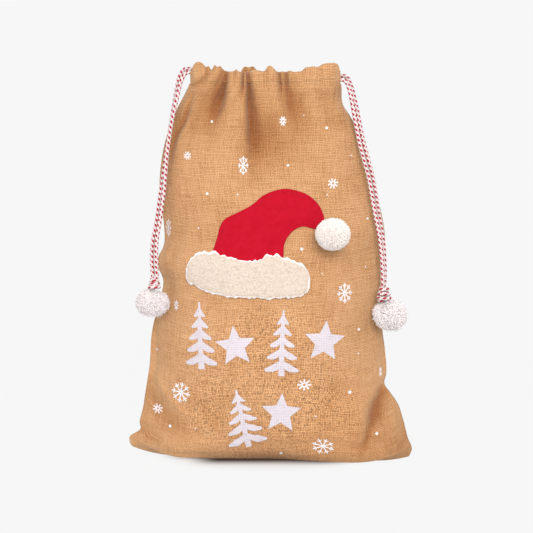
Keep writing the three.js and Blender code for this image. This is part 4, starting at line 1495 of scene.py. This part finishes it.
def flat_line(points, share):
    """(x, z) at a share of the way along a smooth line through points."""
    p = np.array(points, float)
    key = np.linspace(0, 1, len(p))
    return np.stack([along(list(zip(key, p[:, k])), share) for k in (0, 1)], axis=-1)


def patch_grid(line_a, line_b, rows, cols):
    """(x, z) grid between two lines that run the same way, in mm."""
    share = np.linspace(0, 1, rows)
    a, b = flat_line(line_a, share), flat_line(line_b, share)
    return mix(a[:, None], b[:, None], np.linspace(0, 1, cols)[None, :, None])


def closed_patch(name, flat, lift, back_lift, rim_mm):
    """Closed solid laid on the front cloth: a front grid at lift(row, column) off the cloth and a back
    grid near it, joined round the rim. flat is in mm, and uv holds the distance from the rim."""
    rows, cols = flat.shape[:2]
    laid = settle(flat) * MM
    x, z = laid[..., 0], laid[..., 1]
    y = front_y(x, z)
    outer = np.stack([x, y - lift, z], axis=-1).reshape(-1, 3)
    inner = np.stack([x, y - back_lift, z], axis=-1).reshape(-1, 3)
    quads = grid_faces(rows, cols)
    count = rows * cols
    r, c = np.arange(rows), np.arange(cols)
    loop = np.concatenate([c, r[1:] * cols + cols - 1, (rows - 1) * cols + c[-2::-1], r[-2:0:-1] * cols])
    nxt = np.roll(loop, -1)
    rim = np.stack([loop, loop + count, nxt + count, nxt], axis=1)
    faces = np.concatenate([quads, quads[:, ::-1] + count, rim])
    edge = np.stack([rim_mm * MM, 0 * rim_mm], axis=-1)
    sheet_uv = grid_uvs(edge)
    uvs = np.concatenate([sheet_uv, sheet_uv[:, ::-1], np.zeros((len(rim), 4, 2))])
    middle_x = flat[..., 0].mean(axis=1)
    if middle_x[-1] < middle_x[0]:
        faces, uvs = faces[:, ::-1], uvs[:, ::-1]
    return new_piece(name, np.concatenate([outer, inner]), faces, uvs)


def edge_share(rows, cols, flat):
    """Distance in mm from each grid point to the patch's outline, near enough for rounding its rim."""
    length = np.linalg.norm(np.diff(flat, axis=1), axis=-1)
    across = np.concatenate([np.zeros((rows, 1)), np.cumsum(length, axis=1)], axis=1)
    sides = np.minimum(across, across[:, -1:] - across)
    along_ = np.linalg.norm(np.diff(flat[:, cols // 2], axis=0), axis=-1)
    down = np.concatenate([[0.0], np.cumsum(along_)])
    ends = np.minimum(down, down[-1] - down)[:, None]
    return np.minimum(sides, ends)


def hat_crown():
    """Felt crown: an even sheet with a soft rim, a low swell in the middle and a few shallow dents."""
    rows, cols = 150, 70
    flat = patch_grid(CROWN_OUTER, CROWN_INNER, rows, cols)
    off = edge_share(rows, cols, flat)
    rim = np.sqrt(np.clip(1 - (1 - np.clip(off / 2.4, 0, 1)) ** 2, 0, 1))
    swell = 0.0022 * smooth(off / 26)
    dents = 0.0008 * lattice_noise(flat[..., 0] / 17, flat[..., 1] / 13, 61)
    pull = 0.0007 * np.exp(-(((off - 4.5) / 1.6) ** 2))
    lift = 0.0012 + (FELT - 0.0006) * rim + swell + dents * smooth(off / 8) - pull
    piece = closed_patch("felt_crown", flat, lift, 0.0004, off)
    dress(piece, FELT_RED, "sack")
    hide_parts("hat_crown")
    return piece


# Places of the taller curls on the brim's upper rim: x, half width and height in mm.
TUFTS = [
    (-128, 7, 2.0), (-112, 5, 2.5), (-96, 8, 2.5), (-80, 4, 3.0), (-67, 5, 3.0), (-8, 5, 5.5),
    (12, 6, 3.5), (27, 5, 2.0),
]


def flat_side(flat):
    """1 where columns run from the top edge down, -1 where they run up."""
    return np.sign(flat[0, 0, 1] - flat[0, -1, 1])


def hat_brim():
    """Fleece brim: a thick soft roll covered with small domes at scattered points, and a wavy rim."""
    rows, cols = 330, 118
    flat = patch_grid(BRIM_TOP, BRIM_LOW, rows, cols)
    away = edge_share(rows, cols, flat)
    share = np.linspace(-1, 1, cols)[None, :, None]
    middle_line = flat.mean(axis=1, keepdims=True)
    scallop = 2.1 * lattice_noise((flat[..., 0] + flat[..., 1] * 0.6) / 4.6, flat[..., 1] / 60.0, 71)
    scallop = scallop + 1.6 * lattice_noise(flat[..., 0] / 11.0 + 40, flat[..., 1] / 60.0, 73)
    lobes = sum(tall * np.exp(-(((flat[..., 0] - at) / half) ** 2)) for at, half, tall in TUFTS)
    scallop = scallop + lobes * (share[..., 0] * flat_side(flat) < 0)
    flat = flat + unit(flat - middle_line + 1e-9) * (scallop * np.abs(share[..., 0]) ** 3)[..., None]
    rng = np.random.default_rng(8)
    spots = np.stack(np.meshgrid(np.arange(-155, 80, 4.6), np.arange(280, 380, 4.6)), -1).reshape(-1, 2)
    spots = spots + rng.uniform(-1.9, 1.9, spots.shape)
    size = rng.uniform(2.6, 3.9, len(spots))
    nub = np.zeros(flat.shape[:2])
    for k, (spot, r) in enumerate(zip(spots, size)):
        near = np.hypot(flat[..., 0] - spot[0], flat[..., 1] - spot[1]) / r
        nub = np.maximum(nub, np.sqrt(np.clip(1 - near * near, 0, 1)) * (0.75 + 0.25 * ((k * 7) % 5) / 4))
    roll = np.sqrt(np.clip(1 - (1 - np.clip(away / 13, 0, 1)) ** 2, 0, 1))
    fine = 0.0004 * lattice_noise(flat[..., 0] / 1.3, flat[..., 1] / 1.3, 72)
    lift = 0.0015 + 0.0070 * roll + (0.0013 * nub + fine) * smooth(away / 2.0)
    piece = closed_patch("fleece_brim", flat, lift, 0.0004, away)
    dress(piece, FLEECE, "sack")
    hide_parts("hat_brim")
    return piece


felt_crown = hat_crown()
fleece_brim = hat_brim()


def laid_stitches(name, node, points, lift, length, gap, gauge, material):
    """Stitches along a smooth (x, z) line laid on the front at a lift."""
    share = np.linspace(0, 1, 240)
    flat = flat_line(points, share)
    line = on_cloth(flat, lift)
    outs = np.tile([0.0, -1.0, 0.0], (len(line), 1))
    piece = piece_of(name, stitches(line, outs, length, gap, gauge))
    dress(piece, material, "sack")
    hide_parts(node)


CROWN_THREAD = [
    (-90, 390), (-82, 414), (-72, 425), (-52, 437), (-28, 450), (-7, 466), (18, 476), (39, 476),
    (63, 467), (80, 451), (88, 435),
]
BRIM_THREAD = [
    (-142, 335), (-137, 322), (-123, 313), (-81, 301), (-33, 298), (14, 298), (54, 303), (65, 314),
    (66, 328),
]
laid_stitches(
    "felt_crown_stitches", "hat_crown_stitching", CROWN_THREAD, 0.0040, 0.0030, 0.0022, 0.00035, THREAD_RED)
laid_stitches(
    "fleece_brim_stitches", "hat_brim_stitching", BRIM_THREAD, 0.0028, 0.0050, 0.0030, 0.0006,
    THREAD_WHITE)


def hat_pompom():
    """The hat's pompom on its short thread."""
    centre = middle("hat_pompom") + np.array([-0.004, -0.0045, 0.0035])
    pompom("hat_yarn_pompom", centre, half_size("hat_pompom") * 0.99, YARN_WHITE, 21,
           9000, 0.20, 0.02, "hat_ball", "hat_pompom")
    low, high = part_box("hat_pompom_thread")
    x, z = centre[0], centre[2]
    y = np.linspace(high[1] + 0.002, low[1] - 0.004, 12)
    parts = []
    for k in range(4):
        a = k * TAU / 4
        r = 0.0009
        line = np.stack([x + r * np.cos(a + y * 900), y, z + r * np.sin(a + y * 900)], axis=1)
        parts.append(tube_part(line, 0.0006, 6, first=(1, 0, 0)))
    shank = piece_of("hat_pompom_shank", parts)
    dress(shank, THREAD_WHITE, "sack")
    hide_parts("hat_pompom_thread")


hat_pompom()

# ---- Stray fibres ---------------------------------------------------------------------------------
def stray_fibres(name, grid, facing, count, seed):
    """Loose ends of jute standing off the cloth: short curls that leave a random thread, rise a little
    and lean along the cloth."""
    rng = np.random.default_rng(seed)
    parts = []
    t = np.linspace(0, 1, 5)
    for _ in range(count):
        row = rng.integers(FLOOR_ROWS + 6, int(PANEL_ROWS * 0.92))
        col = rng.integers(3, PANEL_COLS - 2)
        turn, size = rng.uniform(0, TAU), rng.uniform(0.004, 0.010)
        way = np.array([math.cos(turn), 0.0, math.sin(turn)])
        out = np.array([0.0, facing, 0.0])
        curl = np.cross(way, out) * rng.uniform(-0.5, 0.5)
        height = rng.uniform(0.0012, 0.0026)
        line = grid[row, col] + way * size * t[:, None] + curl * size * (t * t)[:, None]
        line = line + out * (height * np.sin(t * PI * 0.62) - 0.0002)[:, None]
        parts.append(tube_part(line, np.linspace(0.00011, 0.00004, 5), 3, first=(0, 1, 0)))
    piece = piece_of(name, parts)
    dress(piece, THREAD, "sack")


stray_fibres("front_stray_fibres", FRONT, -1.0, 420, 31)
stray_fibres("back_stray_fibres", BACK, 1.0, 260, 32)
